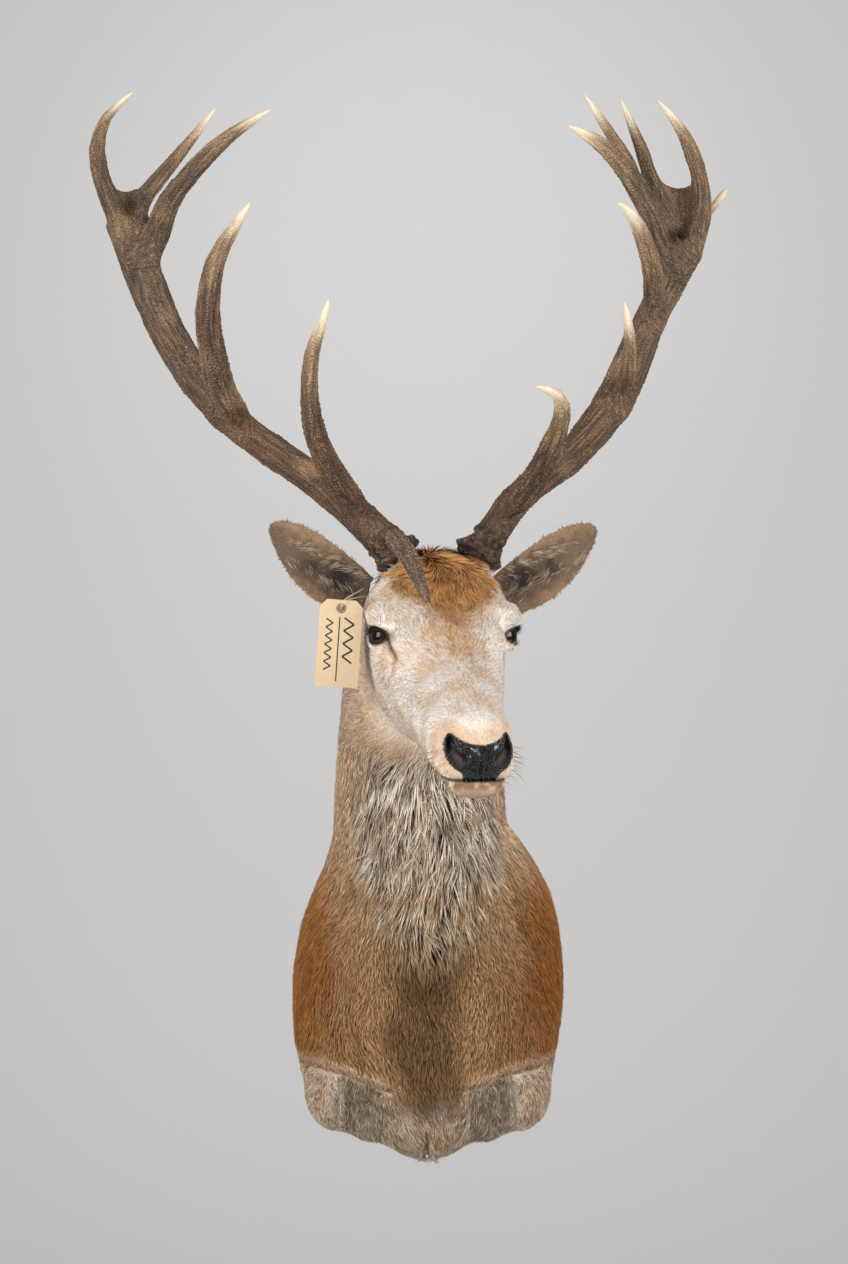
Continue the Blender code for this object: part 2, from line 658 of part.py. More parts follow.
def tag_string():
    curve = bpy.data.curves.new("tag_string", "CURVE")
    curve.dimensions = "3D"
    curve.bevel_depth = STRING_DIAMETER / 2
    curve.bevel_resolution = 1
    curve.use_fill_caps = True
    route = string_route()
    spline = curve.splines.new("POLY")
    spline.points.add(len(route) - 1)
    for point, place in zip(spline.points, route):
        point.co = (*place, 1.0)
    line = add_object("string_line", curve)
    bpy.context.view_layer.update()
    graph = bpy.context.evaluated_depsgraph_get()
    mesh = bpy.data.meshes.new_from_object(line.evaluated_get(graph))
    cord = add_object("tag_string", mesh)
    cord.matrix_world = line.matrix_world.copy()
    bpy.data.objects.remove(line, do_unlink=True)
    tidy_mesh(cord)
    return cord


# ---------------------------------------------------------------- the object
def build():
    clear_scene()
    group = collection("red_deer_stag_head_mount")
    coat_face = material("face_coat", (0.72, 0.60, 0.46), 0.85)
    coat_neck = material("neck_coat", (0.42, 0.34, 0.25), 0.9)
    coat_back = material("shoulder_coat", (0.42, 0.18, 0.07), 0.9)
    coat_belly = material("brisket_coat", (0.50, 0.38, 0.27), 0.9)
    coat_ear = material("ear_coat", (0.26, 0.18, 0.11), 0.9)
    nose_skin = material("nose_skin", (0.012, 0.011, 0.012), 0.3)
    eye_glass = material("eye_glass", (0.03, 0.012, 0.006), 0.05)
    horn = material("antler_bone", (0.20, 0.13, 0.085), 0.6)
    wood = material("board_wood", (0.45, 0.29, 0.16), 0.6)
    card = material("tag_card", (0.80, 0.62, 0.38), 0.75)
    twine = material("string_cotton", (0.62, 0.52, 0.38), 0.85)

    pieces = {"backing_board": (backing_board(), wood)}
    antlers = antler(BRANCHES_RIGHT, "right")
    antlers.update(antler(BRANCHES_LEFT, "left"))
    for side_name, branches in (("right", BRANCHES_RIGHT), ("left", BRANCHES_LEFT)):
        web = crown_web(side_name, branches)
        antlers[web.name] = web
    for name, piece in antlers.items():
        pieces[name] = (piece, horn)

    body = whole_body()
    carve(body, fattened(pieces["backing_board"][0], "cutter"))
    antler_specs = {"right": BRANCHES_RIGHT, "left": BRANCHES_LEFT}
    for side_name, branches in antler_specs.items():
        beam_name = "antler_%s_lower_beam" % side_name
        carve(body, burr("cutter", branches[beam_name], 2 * GAP))
        carve(body, branch(beam_name, branches[beam_name], GAP))
    carve(body, branch("brow", BRANCHES_RIGHT["antler_right_brow_tine"], GAP))
    for side, side_name in ((-1, "right"), (1, "left")):
        eye = ellipsoid("eye_" + side_name, eye_place(side), Vector((EYE_RADIUS,) * 3))
        pieces[eye.name] = (eye, eye_glass)
        carve(body, ellipsoid("cutter", eye_place(side), Vector((EYE_RADIUS + GAP,) * 3)))

    tag = tag_plate()
    string = tag_string()
    carve(body, fattened(tag, "cutter"))
    around = fattened(body, "around")
    for side, side_name in ((-1, "right"), (1, "left")):
        ear = ear_form(side, "ear_" + side_name)
        carve(ear, around, keep_cutter=True)
        beam_name = "antler_%s_lower_beam" % side_name
        carve(ear, burr("cutter", antler_specs[side_name][beam_name], GAP))
        pieces[ear.name] = (ear, coat_ear)
    carve(string, around)
    carve(string, fattened(pieces["ear_right"][0], "cutter"))
    pieces["tag"] = (tag, card)
    pieces["tag_string"] = (string, twine)

    head_cuts = ((NECK_CUT_POINT, NECK_CUT_NORMAL), (THROAT_CUT_POINT, THROAT_CUT_NORMAL))
    head = part_off(body, head_cuts, "head")
    mouth = head_place(JAW_CUT_FRONT[0], 0, JAW_CUT_FRONT[1])
    below_mouth = Vector((0, 0, -1)) - FORWARD * JAW_CUT_SLOPE
    jaw_cuts = ((mouth, below_mouth), (head_place(JAW_END_FORWARD, 0, 0), FORWARD))
    jaw = part_off(head, jaw_cuts, "lower_jaw")
    nose = part_off(head, ((head_place(NOSE_CUT_FORWARD, 0, 0), FORWARD),), "nose_pad")
    neck = part_off(body, ((Vector((0, 0, SHOULDER_CUT_HEIGHT)), Vector((0, 0, 1))),), "neck")
    below_chest = (Vector((0, 0, BRISKET_CUT_HEIGHT)), Vector((0, 0, -1)))
    brisket = part_off(body, (below_chest,), "brisket")
    for side, side_name in ((-1, "right"), (1, "left")):
        beside = Vector((BRISKET_LOBE[0].x + side * LEG_CUT_ASIDE, 0, 0))
        fold_name = "leg_fold_" + side_name
        fold = part_off(brisket, ((beside, Vector((side, 0, 0))),), fold_name)
        pieces[fold_name] = (fold, coat_belly)
    body.name = "shoulders"
    pieces["head"] = (head, coat_face)
    pieces["lower_jaw"] = (jaw, coat_face)
    pieces["nose_pad"] = (nose, nose_skin)
    pieces["neck"] = (neck, coat_neck)
    pieces["brisket"] = (brisket, coat_belly)
    pieces["shoulders"] = (body, coat_back)

    for name, (piece, mat) in pieces.items():
        piece.name = name
        piece.data.name = name
        piece.data.materials.clear()
        piece.data.materials.append(mat)
        if name not in ("tag", "backing_board"):
            piece.data.shade_smooth()
            piece.data.set_sharp_from_angle(angle=math.radians(40))
        for holder in list(piece.users_collection):
            holder.objects.unlink(piece)
        group.objects.link(piece)


build()
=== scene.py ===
"""Looks of the red deer stag head mount: skin, coat, eyes, nose, antlers, tag and board."""
import json
import math
from collections import namedtuple

import bmesh
import bpy
import numpy as np
from mathutils import Matrix, Vector, noise
from mathutils.bvhtree import BVHTree
from mathutils.kdtree import KDTree

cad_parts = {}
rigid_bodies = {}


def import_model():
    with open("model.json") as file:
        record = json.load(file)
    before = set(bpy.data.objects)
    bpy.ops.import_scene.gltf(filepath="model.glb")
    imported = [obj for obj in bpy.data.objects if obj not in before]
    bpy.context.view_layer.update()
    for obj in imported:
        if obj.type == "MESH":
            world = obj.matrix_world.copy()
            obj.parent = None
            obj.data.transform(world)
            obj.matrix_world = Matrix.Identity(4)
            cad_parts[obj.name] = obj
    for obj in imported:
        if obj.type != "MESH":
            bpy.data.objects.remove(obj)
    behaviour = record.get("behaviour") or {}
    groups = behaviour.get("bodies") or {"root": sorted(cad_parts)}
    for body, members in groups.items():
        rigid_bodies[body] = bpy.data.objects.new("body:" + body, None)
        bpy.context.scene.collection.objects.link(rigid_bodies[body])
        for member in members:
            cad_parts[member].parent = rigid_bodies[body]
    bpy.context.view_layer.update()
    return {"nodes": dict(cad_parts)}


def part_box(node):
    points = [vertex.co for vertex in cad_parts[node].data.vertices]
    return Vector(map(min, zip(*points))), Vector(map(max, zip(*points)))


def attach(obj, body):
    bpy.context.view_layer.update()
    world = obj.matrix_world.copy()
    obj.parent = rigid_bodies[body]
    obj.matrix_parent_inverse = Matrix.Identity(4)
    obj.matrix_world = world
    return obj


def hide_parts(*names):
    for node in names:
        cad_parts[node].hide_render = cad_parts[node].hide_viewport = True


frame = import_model()

# ---- places read from the frame
FLESH = tuple(name for name in ("head", "lower_jaw", "nose_pad", "neck", "shoulders", "brisket",
                                "leg_fold_right", "leg_fold_left") if name in frame["nodes"])
EARS = ("ear_right", "ear_left")
SIDES = ((-1, "right"), (1, "left"))
SIDE_NAMES = dict(SIDES)
ANTLER_NODES = {side: sorted(name for name in frame["nodes"] if name.startswith("antler_%s_" % side))
                for side in ("right", "left")}


def node_centre(name):
    low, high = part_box(name)
    return (low + high) / 2


EYE = {side: node_centre("eye_" + name) for side, name in SIDES}
EYE_SETBACK = 0.011          # eyes' centres behind the head's own origin
EYE_RADIUS = (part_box("eye_left")[1].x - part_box("eye_left")[0].x) / 2
MID = (EYE[-1] + EYE[1]) / 2
LEFT = (EYE[1] - EYE[-1]).normalized()
FORWARD = Vector((LEFT.y, -LEFT.x, 0.0))
UP = Vector((0.0, 0.0, 1.0))
NOSE_TIP = (node_centre("nose_pad") - MID).dot(FORWARD) + 0.0165     # forward of the eyes
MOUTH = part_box("nose_pad")[0].z - MID.z        # line between the lips, over the eyes' level
BODY_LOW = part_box("brisket")[0].z
CHEST_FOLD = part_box("brisket")[1].z
BODY_MIDDLE = 0.003          # the body's own middle, beside the board's
FOLD_MIDDLE = CHEST_FOLD + 0.025

# ---- sizes of the finish (metres)
SKIN_VOXEL = 0.0037
EAR_VOXEL = 0.0017
SKIN_ROUNDS = 90             # of smoothing over the joins of the flesh nodes
HOLLOW_ROUNDS = 260          # of smoothing behind the cheek
FAR = 9.0                    # longer than any distance here
SKIN_SHARE = 0.62            # of the skin's triangles, kept once its coat has grown
SEED = 7


# ---- small helpers
def smooth(low, high, value):
    """Eases from 0 at low to 1 at high."""
    share = np.clip((np.asarray(value) - low) / (high - low), 0.0, 1.0)
    return share * share * (3 - 2 * share)


def by_nose(back, near, forward):
    """Eases from 0 to 1 between two distances behind the tip of the nose."""
    return smooth(NOSE_TIP - back, NOSE_TIP - near, forward)


def bump(value, centre, width):
    """Round bump of height 1 at centre that fades out at about width."""
    return np.exp(-((value - centre) / width) ** 2)


def lengths_of(rows):
    return np.linalg.norm(rows, axis=1)


def unit(rows):
    return rows / np.maximum(np.linalg.norm(rows, axis=1, keepdims=True), 1e-9)


def along_rows(rows, others):
    """Dot product of each row with the other's."""
    return np.sum(rows * others, axis=1)


def head_coordinates(points):
    """Forward, aside to the stag's left, and height over the eyes, for rows of points."""
    away = points - np.array(MID)
    return away @ np.array(FORWARD), away @ np.array(LEFT), away[:, 2]


def head_direction(forward, aside, up):
    return np.array(FORWARD) * forward + np.array(LEFT) * aside + np.array(UP) * up


def wave_noise(points, scale, seed):
    """Smooth repeatable noise between about -1 and 1, from summed slanted waves."""
    rng = np.random.default_rng(seed)
    total = np.zeros(len(points))
    for _ in range(7):
        direction = rng.normal(size=3)
        direction /= np.linalg.norm(direction)
        pitch = rng.uniform(0.6, 1.7)
        phase = rng.uniform(0, 2 * math.pi)
        warp = np.sin(points @ rng.normal(size=3) / scale * 1.3 + rng.uniform(0, 6))
        total += np.sin(points @ direction * (2 * math.pi * pitch / scale) + phase + warp)
    return total / 3.2


def near_node(points, name, gap):
    """Which points lie in a CAD node's box or nearer to it than the gap."""
    low, high = (np.array(corner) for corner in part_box(name))
    return np.all((points > low - gap) & (points < high + gap), axis=1)


def linked(name, data):
    """A new object of some data, in the scene."""
    obj = bpy.data.objects.new(name, data)
    bpy.context.scene.collection.objects.link(obj)
    return obj


def mesh_object(name, verts, faces):
    mesh = bpy.data.meshes.new(name)
    mesh.from_pydata([tuple(v) for v in verts], [], faces)
    mesh.update()
    return linked(name, mesh)


def object_from(form, name):
    mesh = bpy.data.meshes.new(name)
    form.to_mesh(mesh)
    form.free()
    return linked(name, mesh)


def form_of(mesh):
    form = bmesh.new()
    form.from_mesh(mesh)
    return form


def applied(obj):
    """Turns an object's modifiers into its plain mesh."""
    bpy.context.view_layer.update()
    graph = bpy.context.evaluated_depsgraph_get()
    mesh = bpy.data.meshes.new_from_object(obj.evaluated_get(graph))
    obj.modifiers.clear()
    obj.data = mesh


def merged_copy(nodes, name):
    """One mesh of merged copies of CAD nodes."""
    form = bmesh.new()
    for node in nodes:
        form.from_mesh(frame["nodes"][node].data)
    bmesh.ops.remove_doubles(form, verts=form.verts, dist=1e-6)
    return object_from(form, name)


def smooth_mesh(obj, rounds, shares=None):
    """Smooths a mesh, with less of it where the shares of the vertices are below 1."""
    smoother = obj.modifiers.new("smooth", "SMOOTH")
    smoother.factor = 0.5
    smoother.iterations = rounds
    if shares is not None:
        group = obj.vertex_groups.new(name="even")
        for index in np.nonzero(shares > 0.01)[0]:
            group.add([int(index)], float(shares[index]), "REPLACE")
        smoother.vertex_group = "even"
    applied(obj)
    obj.vertex_groups.clear()
    return obj


def remeshed(obj, voxel, rounds):
    """One closed mesh of even faces about a voxel wide, smoothed a little."""
    remesh = obj.modifiers.new("remesh", "REMESH")
    remesh.mode = "VOXEL"
    remesh.voxel_size = voxel
    return smooth_mesh(obj, rounds)


def rows_of(mesh, key):
    rows = np.empty(len(mesh.vertices) * 3)
    mesh.vertices.foreach_get(key, rows)
    return rows.reshape(-1, 3)


def points_of(mesh):
    return rows_of(mesh, "co")


def places_and_normals(obj):
    return rows_of(obj.data, "co"), rows_of(obj.data, "normal")


def set_points(mesh, points):
    mesh.vertices.foreach_set("co", points.ravel())
    mesh.update()


def colour_layer(mesh, name, colours):
    """Stores one linear colour for each vertex."""
    layer = mesh.color_attributes.new(name, "FLOAT_COLOR", "POINT")
    rows = np.ones((len(mesh.vertices), 4))
    rows[:, :3] = colours
    layer.data.foreach_set("color", rows.ravel())


def vertex_layer(mesh, name, values, kind="FLOAT"):
    layer = mesh.attributes.new(name, kind, "POINT")
    key = "vector" if kind == "FLOAT_VECTOR" else "value"
    layer.data.foreach_set(key, np.asarray(values, float).ravel())


def srgb(red, green, blue):
    """Linear colour of an sRGB colour given from 0 to 255."""
    values = np.array((red, green, blue)) / 255
    return np.where(values <= 0.04045, values / 12.92, ((values + 0.055) / 1.055) ** 2.4)


def between(first, second, share):
    """Goes from first to second as share goes from 0 to 1."""
    return first * (1 - share) + second * share


def mixed(first, second, share):
    """The same for rows of colours or directions, or for one colour on every row."""
    return between(first, second, np.asarray(share)[:, None])


def layered(base, *layers):
    """Lays colours over another, each given with its share."""
    for colour, share in layers:
        base = mixed(base, colour, share)
    return base


def triangle_corners(mesh):
    """Numbers of the three vertices of each triangle."""
    mesh.calc_loop_triangles()
    corners = np.empty(len(mesh.loop_triangles) * 3, int)
    mesh.loop_triangles.foreach_get("vertices", corners)
    return corners.reshape(-1, 3)


def triangle_draws(rng, count):
    """Two even random shares of the way along a triangle's sides, which stay inside it."""
    first, second = rng.uniform(0, 1, (2, count))
    over = first + second > 1
    first[over], second[over] = 1 - first[over], 1 - second[over]
    return first, second


def tree_of(places):
    """A tree that finds the nearest of some places."""
    tree = KDTree(len(places))
    for index, place in enumerate(places):
        tree.insert(Vector(place), index)
    tree.balance()
    return tree


def found(tree, points, item):
    """Number (item 1) or distance (item 2) of the tree's place nearest to each point."""
    return np.array([tree.find(Vector(point))[item] for point in points])


def surface_tree(mesh):
    form = form_of(mesh)
    tree = BVHTree.FromBMesh(form)
    form.free()
    return tree


# ---- tag's place and string, as in the CAD model
TAG_SIZE = (0.054, 0.0008, 0.108)
TAG_CENTRE = Vector((-0.1055, -0.4150, 0.4310))
TAG_LEAN = math.radians(4.0)
TAG_TURN = math.radians(-9.0)
TAG_HOLE_DROP = 0.0105
TAG_HOLE_RADIUS = 0.0032
STRING_DIAMETER = 0.0014


def tag_matrix():
    return (Matrix.Translation(TAG_CENTRE) @ Matrix.Rotation(TAG_TURN, 4, "Z")
            @ Matrix.Rotation(TAG_LEAN, 4, "Y"))


def catmull(before, start, end, after, t):
    return 0.5 * (2 * start + (end - before) * t
                  + (2 * before - 5 * start + 4 * end - after) * t * t
                  + (3 * start - before - 3 * end + after) * t ** 3)


def string_route(steps):
    """Middle line of the tag's string: from the ear's base through the tag's hole and back."""
    place = tag_matrix()
    hole = place @ Vector((0, 0, TAG_SIZE[2] / 2 - TAG_HOLE_DROP))
    face = (place.to_3x3() @ Vector((0, -1, 0))).normalized()
    root = MID + FORWARD * (-0.075 + EYE_SETBACK) + LEFT * -0.088 + UP * (0.496 - MID.z)
    knots = (root + Vector((-0.003, 0, 0.004)), root + Vector((-0.006, -0.016, 0.001)),
             hole + face * 0.0046 + Vector((0.006, 0, 0.0115)),
             hole + face * 0.0058 + Vector((0.002, 0, 0.0045)),
             hole + face * 0.0028 + Vector((0, 0, -0.0004)),
             hole - face * 0.0028 + Vector((0.0002, 0, -0.0004)),
             hole - face * 0.0058 + Vector((0.003, 0, 0.0045)),
             hole - face * 0.0040 + Vector((0.009, 0, 0.0110)),
             root + Vector((0.002, -0.012, -0.006)), root + Vector((0.006, 0.002, -0.006)))
    rows = []
    last = len(knots) - 1
    for index in range(last):
        window = [knots[max(0, min(last, index + shift))] for shift in (-1, 0, 1, 2)]
        for step in range(steps):
            rows.append(Vector([catmull(*values, step / steps) for values in zip(*window)]))
    rows.append(knots[last])
    return rows


def string_piece(mat):
    """The tag's cotton string as one thin tube."""
    curve = bpy.data.curves.new("tag_cotton_string", "CURVE")
    curve.dimensions = "3D"
    curve.bevel_depth = STRING_DIAMETER / 2
    curve.bevel_resolution = 3
    curve.use_fill_caps = True
    route = string_route(8)
    spline = curve.splines.new("POLY")
    spline.points.add(len(route) - 1)
    for point, spot in zip(spline.points, route):
        point.co = (*spot, 1.0)
    cord = linked("tag_cotton_string", curve)
    curve.materials.append(mat)
    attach(cord, "root")
    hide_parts("tag_string")


# ---- regions of the body
NAPE_POINT = np.array(MID + FORWARD * -0.128 + UP * 0.105)
NAPE_NORMAL = np.array(Vector((0.17, -0.94, -0.23)).normalized())
THROAT_POINT = np.array(MID + FORWARD * -0.055 + UP * -0.157)
THROAT_NORMAL = np.array(Vector((0.04, -0.20, 0.98)).normalized())


def head_share(points, soft=0.03):
    """1 on the head, 0 on the neck and below, soft in between."""
    ahead = (points - NAPE_POINT) @ NAPE_NORMAL
    above = (points - THROAT_POINT) @ THROAT_NORMAL
    return smooth(-soft, soft, np.minimum(ahead, above))


def from_middle(points):
    """Distance from the body's middle, to the stag's left."""
    return points[:, 0] - BODY_MIDDLE


def fold_height(points):
    """Height of the skin fold across the lower chest, which rises towards the legs."""
    return FOLD_MIDDLE + 0.018 * smooth(0.050, 0.130, np.abs(from_middle(points)))


def fold_share(points):
    """1 where the chest ends in a fold, 0 in the middle, where it runs on into the brisket."""
    return smooth(0.030, 0.060, np.abs(from_middle(points)))


def below_fold(points, soft):
    """1 below the fold, or below the soft edge of the brisket in the middle."""
    share = fold_share(points)
    edge = fold_height(points) - 0.020 * (1 - share)
    edge = edge + (1 - share) * 0.006 * wave_noise(points, 0.04, 25)
    beside = smooth(0.150, 0.168, np.abs(from_middle(points)))
    width = soft + 0.022 * (1 - share) + 0.020 * beside
    return smooth(width, -width, points[:, 2] - edge)


def throat_share(points):
    """1 on the long hair of the throat, which narrows down to the chest."""
    height = points[:, 2]
    front = smooth(-0.19, -0.29, points[:, 1])
    width = np.clip(0.028 + 0.34 * (height - 0.03), 0.018, 0.074)
    gap = np.abs(from_middle(points)) + 0.008 * wave_noise(points, 0.05, 23)
    return front * smooth(width + 0.024, width - 0.016, gap) * smooth(0.000, 0.064, height)


def crown_share(points, soft=0.012):
    """1 on the long hair between the antlers, which ends in a ragged point on the forehead."""
    _, aside, up = head_coordinates(points)
    flat = np.abs(aside - 0.006)
    ragged = 0.006 * wave_noise(points, 0.016, 22) + 0.004 * wave_noise(points, 0.05, 21)
    hairline = 0.024 + 0.66 * np.maximum(flat - 0.008, 0) + ragged
    beside = smooth(0.066, 0.050, flat + ragged)
    return smooth(-soft, soft, up - hairline) * beside * head_share(points, 0.02)


def coat_depth(points):
    """How far the hair stands over the skin."""
    forward, _, up = head_coordinates(points)
    on_head = head_share(points)
    crown = smooth(-0.015, -0.06, forward) * smooth(0.045, 0.075, up) * on_head
    front = smooth(-0.16, -0.30, points[:, 1])
    low = smooth(0.20, 0.06, points[:, 2])
    body = between(0.0060 + 0.0020 * front, 0.0050 + 0.0010 * front, low) + 0.0060 * throat_share(points)
    body = between(body, 0.0030, below_fold(points, 0.006))
    return between(body, 0.0022 + 0.005 * crown, on_head)


# ---- skin
def eye_axes(side):
    """Gaze, long axis towards the tear duct, and upward axis of one eye."""
    gaze = (FORWARD * 0.60 + LEFT * side * 0.80 + UP * 0.04).normalized()
    long_axis = (FORWARD - gaze * gaze.dot(FORWARD)).normalized()
    upward = gaze.cross(long_axis) * side
    if upward.z < 0:
        upward = -upward
    tilt = Matrix.Rotation(math.radians(-3) * side, 3, gaze)
    return gaze, tilt @ long_axis, tilt @ upward


EYE_HALF_LENGTH = 0.0168     # opening between the lids, measured over the eyeball
EYE_UPPER = 0.0082
EYE_LOWER = 0.0100
LID_HEIGHT = 0.0017          # thickness of the lids over the eyeball
SOCKET_DEPTH = 0.0045        # how far the skin goes down behind the lids' edge


def eye_opening(points, side):
    """Place in the eye's own axes, and how far outside its lids (1 is one lid's height away)."""
    gaze, long_axis, upward = (np.array(axis) for axis in eye_axes(side))
    away = points - np.array(EYE[side])
    distance = np.maximum(lengths_of(away), 1e-6)
    turn = np.arccos(np.clip(away @ gaze / distance, -1, 1))
    along, rise = away @ long_axis, away @ upward
    spread = np.maximum(np.hypot(along, rise), 1e-6)
    along = along / spread * turn * EYE_RADIUS
    rise = rise / spread * turn * EYE_RADIUS
    half_height = np.where(rise > 0, EYE_UPPER, EYE_LOWER)
    half_length = np.where(along > 0, EYE_HALF_LENGTH * 0.92, EYE_HALF_LENGTH)
    outside = (np.abs(along / half_length) ** 2.0 + np.abs(rise / half_height) ** 2.0) ** 0.5 - 1
    return away, distance, along, rise, outside


def sculpt_eye(points, side):
    """Draws the skin near one eye into a socket, its two lids and the crease over them."""
    away, distance, _, rise, outside = eye_opening(points, side)
    above = smooth(0.0, 0.006, rise)
    lid = EYE_RADIUS + LID_HEIGHT + 0.0016 * smooth(0.15, 0.9, outside)
    lid = lid + above * (0.0012 * bump(outside, 0.22, 0.20) - 0.0016 * bump(outside, 0.62, 0.16))
    lid = lid + above * 0.0022 * smooth(0.70, 1.10, outside)
    edge = smooth(-0.10, 0.04, outside)
    target = between(EYE_RADIUS - SOCKET_DEPTH, lid, edge)
    hold = (1 - smooth(0.5, 1.9, outside)) * (1 - smooth(0.030, 0.045, distance))
    change = (target - distance) * hold
    return points + away / distance[:, None] * change[:, None]


def groove(points, start, end, width, inward):
    """1 along a line from start to end, seen along inward, which narrows and fades towards its end."""
    start, end, inward = np.array(start), np.array(end), np.array(inward)
    away = points - start
    deep = away @ inward
    away = away - deep[:, None] * inward
    span = end - start
    span = span - (span @ inward) * inward
    share = np.clip(away @ span / (span @ span), 0, 1)
    gap = lengths_of(away - share[:, None] * span)
    return np.exp(-(gap / (width * (1 - 0.5 * share))) ** 2) * (1 - 0.35 * share) * (np.abs(deep) < 0.022)


def tear_duct_line(side):
    """Ends of the groove from the eye's inner corner down the cheek, and the way into the skin there."""
    gaze, long_axis, upward = eye_axes(side)
    start = EYE[side] + gaze * EYE_RADIUS * 0.72 + long_axis * 0.0168 - upward * 0.0030
    end = start + FORWARD * 0.037 - LEFT * side * 0.007 - UP * 0.028
    return start, end, (FORWARD * -0.45 - LEFT * side * 0.89).normalized()


def mouth_height(forward):
    """Height of the lips' line over the eyes' level, by distance forward."""
    behind = np.maximum(NOSE_TIP - 0.022 - forward, 0)
    return MOUTH + 0.0005 + np.minimum(0.17 * behind, 0.004 + 0.08 * behind)


# half outlines seen from ahead, in millimetres aside and over the line between the lips
PAD_OUTLINE = ((-1, -1), (19, -1), (20.5, 5), (24.5, 11), (31, 15), (36.5, 21), (40, 28), (41.5, 36),
               (41, 44), (38.5, 51), (35, 56), (31.5, 55.5), (26, 50), (17, 45), (8, 42.3), (-1, 41.5))
NOSTRIL_OUTLINE = ((33.5, 55), (37, 50.5), (39.5, 43), (39.8, 35), (38, 27.5), (34.5, 21), (29.5, 16.8),
                   (23.5, 15.5), (18.8, 18.5), (16.3, 24), (17.3, 29.5), (22.5, 34), (27.5, 38.5), (31, 46))


def outline_gap(aside, rise, outline):
    """Distance in metres to an outline given in millimetres, below 0 inside it."""
    corners = np.array(outline) / 1000.0
    gap = np.full(len(aside), FAR)
    inside = np.zeros(len(aside), bool)
    for (x0, z0), (x1, z1) in zip(corners, np.roll(corners, -1, axis=0)):
        span_x, span_z = x1 - x0, z1 - z0
        share = np.clip(((aside - x0) * span_x + (rise - z0) * span_z) / (span_x ** 2 + span_z ** 2), 0, 1)
        gap = np.minimum(gap, np.hypot(aside - x0 - share * span_x, rise - z0 - share * span_z))
        if z0 != z1:
            crosses = (z0 > rise) != (z1 > rise)
            inside ^= crosses & (aside < x0 + (rise - z0) / span_z * span_x)
    return np.where(inside, -gap, gap)


def nostril_gap(points, side):
    """Distance outside the edge of one nostril, below 0 inside it."""
    forward, aside, up = head_coordinates(points)
    gap = outline_gap(aside * side, up - MOUTH, NOSTRIL_OUTLINE)
    return np.where(forward > NOSE_TIP - 0.052, gap, FAR)


def nostril_gap_share(points, side):
    """1 inside one nostril."""
    return smooth(0.0006, -0.0010, nostril_gap(points, side))


def nostril_floor(points, side):
    """1 on the lower inner fold of the nostril, which is shallower and paler than its black slit."""
    _, aside, up = head_coordinates(points)
    out = aside * side - 0.0255
    rise = up - MOUTH - 0.0245
    return smooth(1.45, 0.20, np.hypot((out + rise) / 0.0210, (out - rise) / 0.0100))


def pad_share(points):
    """1 on the bare black nose pad, 0 on the hair round it."""
    forward, aside, up = head_coordinates(points)
    ragged = 0.0007 * wave_noise(points, 0.004, 27)
    gap = outline_gap(np.abs(aside), up - MOUTH, PAD_OUTLINE) + ragged
    ahead = by_nose(0.054, 0.046, forward)
    return smooth(0.0011, -0.0011, gap) * ahead


def sculpt_face(points, normals):
    """Presses the details of the face into the skin."""
    forward, aside, up = head_coordinates(points)
    flat = np.abs(aside)
    on_head = head_share(points, 0.012)
    move = np.zeros(len(points))
    # dished sides of the muzzle, ridge of the cheek bone and round jaw muscle
    move -= 0.0050 * bump(forward, 0.105, 0.045) * bump(up, -0.095, 0.030) * smooth(0.030, 0.045, flat)
    move += 0.0035 * bump(forward, 0.040, 0.040) * bump(up, -0.050, 0.013) * smooth(0.035, 0.055, flat)
    move += 0.0040 * bump(forward, -0.035, 0.045) * bump(up, -0.095, 0.040) * smooth(0.030, 0.055, flat)
    # hollow of the forehead between the brows, and hollow behind the eyes
    move -= 0.0045 * bump(forward, 0.010, 0.040) * bump(flat, 0.0, 0.022) * smooth(0.0, 0.03, up)
    move -= 0.0040 * bump(forward, -0.055, 0.020) * bump(up, 0.010, 0.022) * smooth(0.06, 0.08, flat)
    # swell of the nose over the nostrils and of the upper lips
    swell = bump(forward, NOSE_TIP - 0.030, 0.014) * smooth(-0.115, -0.095, up)
    move += 0.0030 * swell * bump(flat, 0.026, 0.016)
    level = mouth_height(forward)
    at_mouth = by_nose(0.105, 0.085, forward)
    move += 0.0030 * bump(up - level, 0.013, 0.008) * at_mouth * smooth(0.008, 0.022, flat)
    move += 0.0016 * bump(up - level, -0.009, 0.006) * at_mouth
    move -= 0.0060 * np.exp(-np.abs((up - level) / 0.0018) ** 1.6) * at_mouth
    # groove of the upper lip under the middle of the nose
    at_nose = forward > NOSE_TIP - 0.03
    move -= 0.0022 * bump(flat, 0.0, 0.0014) * bump(up, MOUTH + 0.012, 0.012) * at_nose
    # pebbled ridge between the nostrils and the pad's middle, and the dip between the ridges
    pad_rise = up - MOUTH
    ridge = bump(pad_rise, 0.0330 + 0.62 * np.maximum(flat - 0.012, 0) + 0.0060, 0.0055)
    move += 0.0022 * ridge * smooth(0.006, 0.016, flat) * (forward > NOSE_TIP - 0.05)
    move -= 0.0014 * bump(flat, 0.0, 0.0060) * bump(pad_rise, 0.036, 0.012) * at_nose
    points = points + normals * (move * on_head)[:, None]
    chin = by_nose(0.085, 0.055, forward) * smooth(-0.004, -0.014, up - level) * on_head
    points = points - np.array(UP) * (0.0050 * chin)[:, None]
    for side in (-1, 1):
        gap = nostril_gap(points, side)
        into = head_direction(-0.90, -0.38 * side, 0.12)
        depth = 0.0125 * smooth(0.0004, -0.0032, gap) * (1 - 0.55 * nostril_floor(points, side))
        rim = 0.0012 * bump(gap, 0.0024, 0.0016)
        points = points + into[None, :] * depth[:, None] + normals * rim[:, None]
        start, end, inward = tear_duct_line(side)
        press = 0.0050 * groove(points, start, end, 0.0050, inward)
        points = points + np.array(inward) * press[:, None]
        points = sculpt_eye(points, side)
    return points


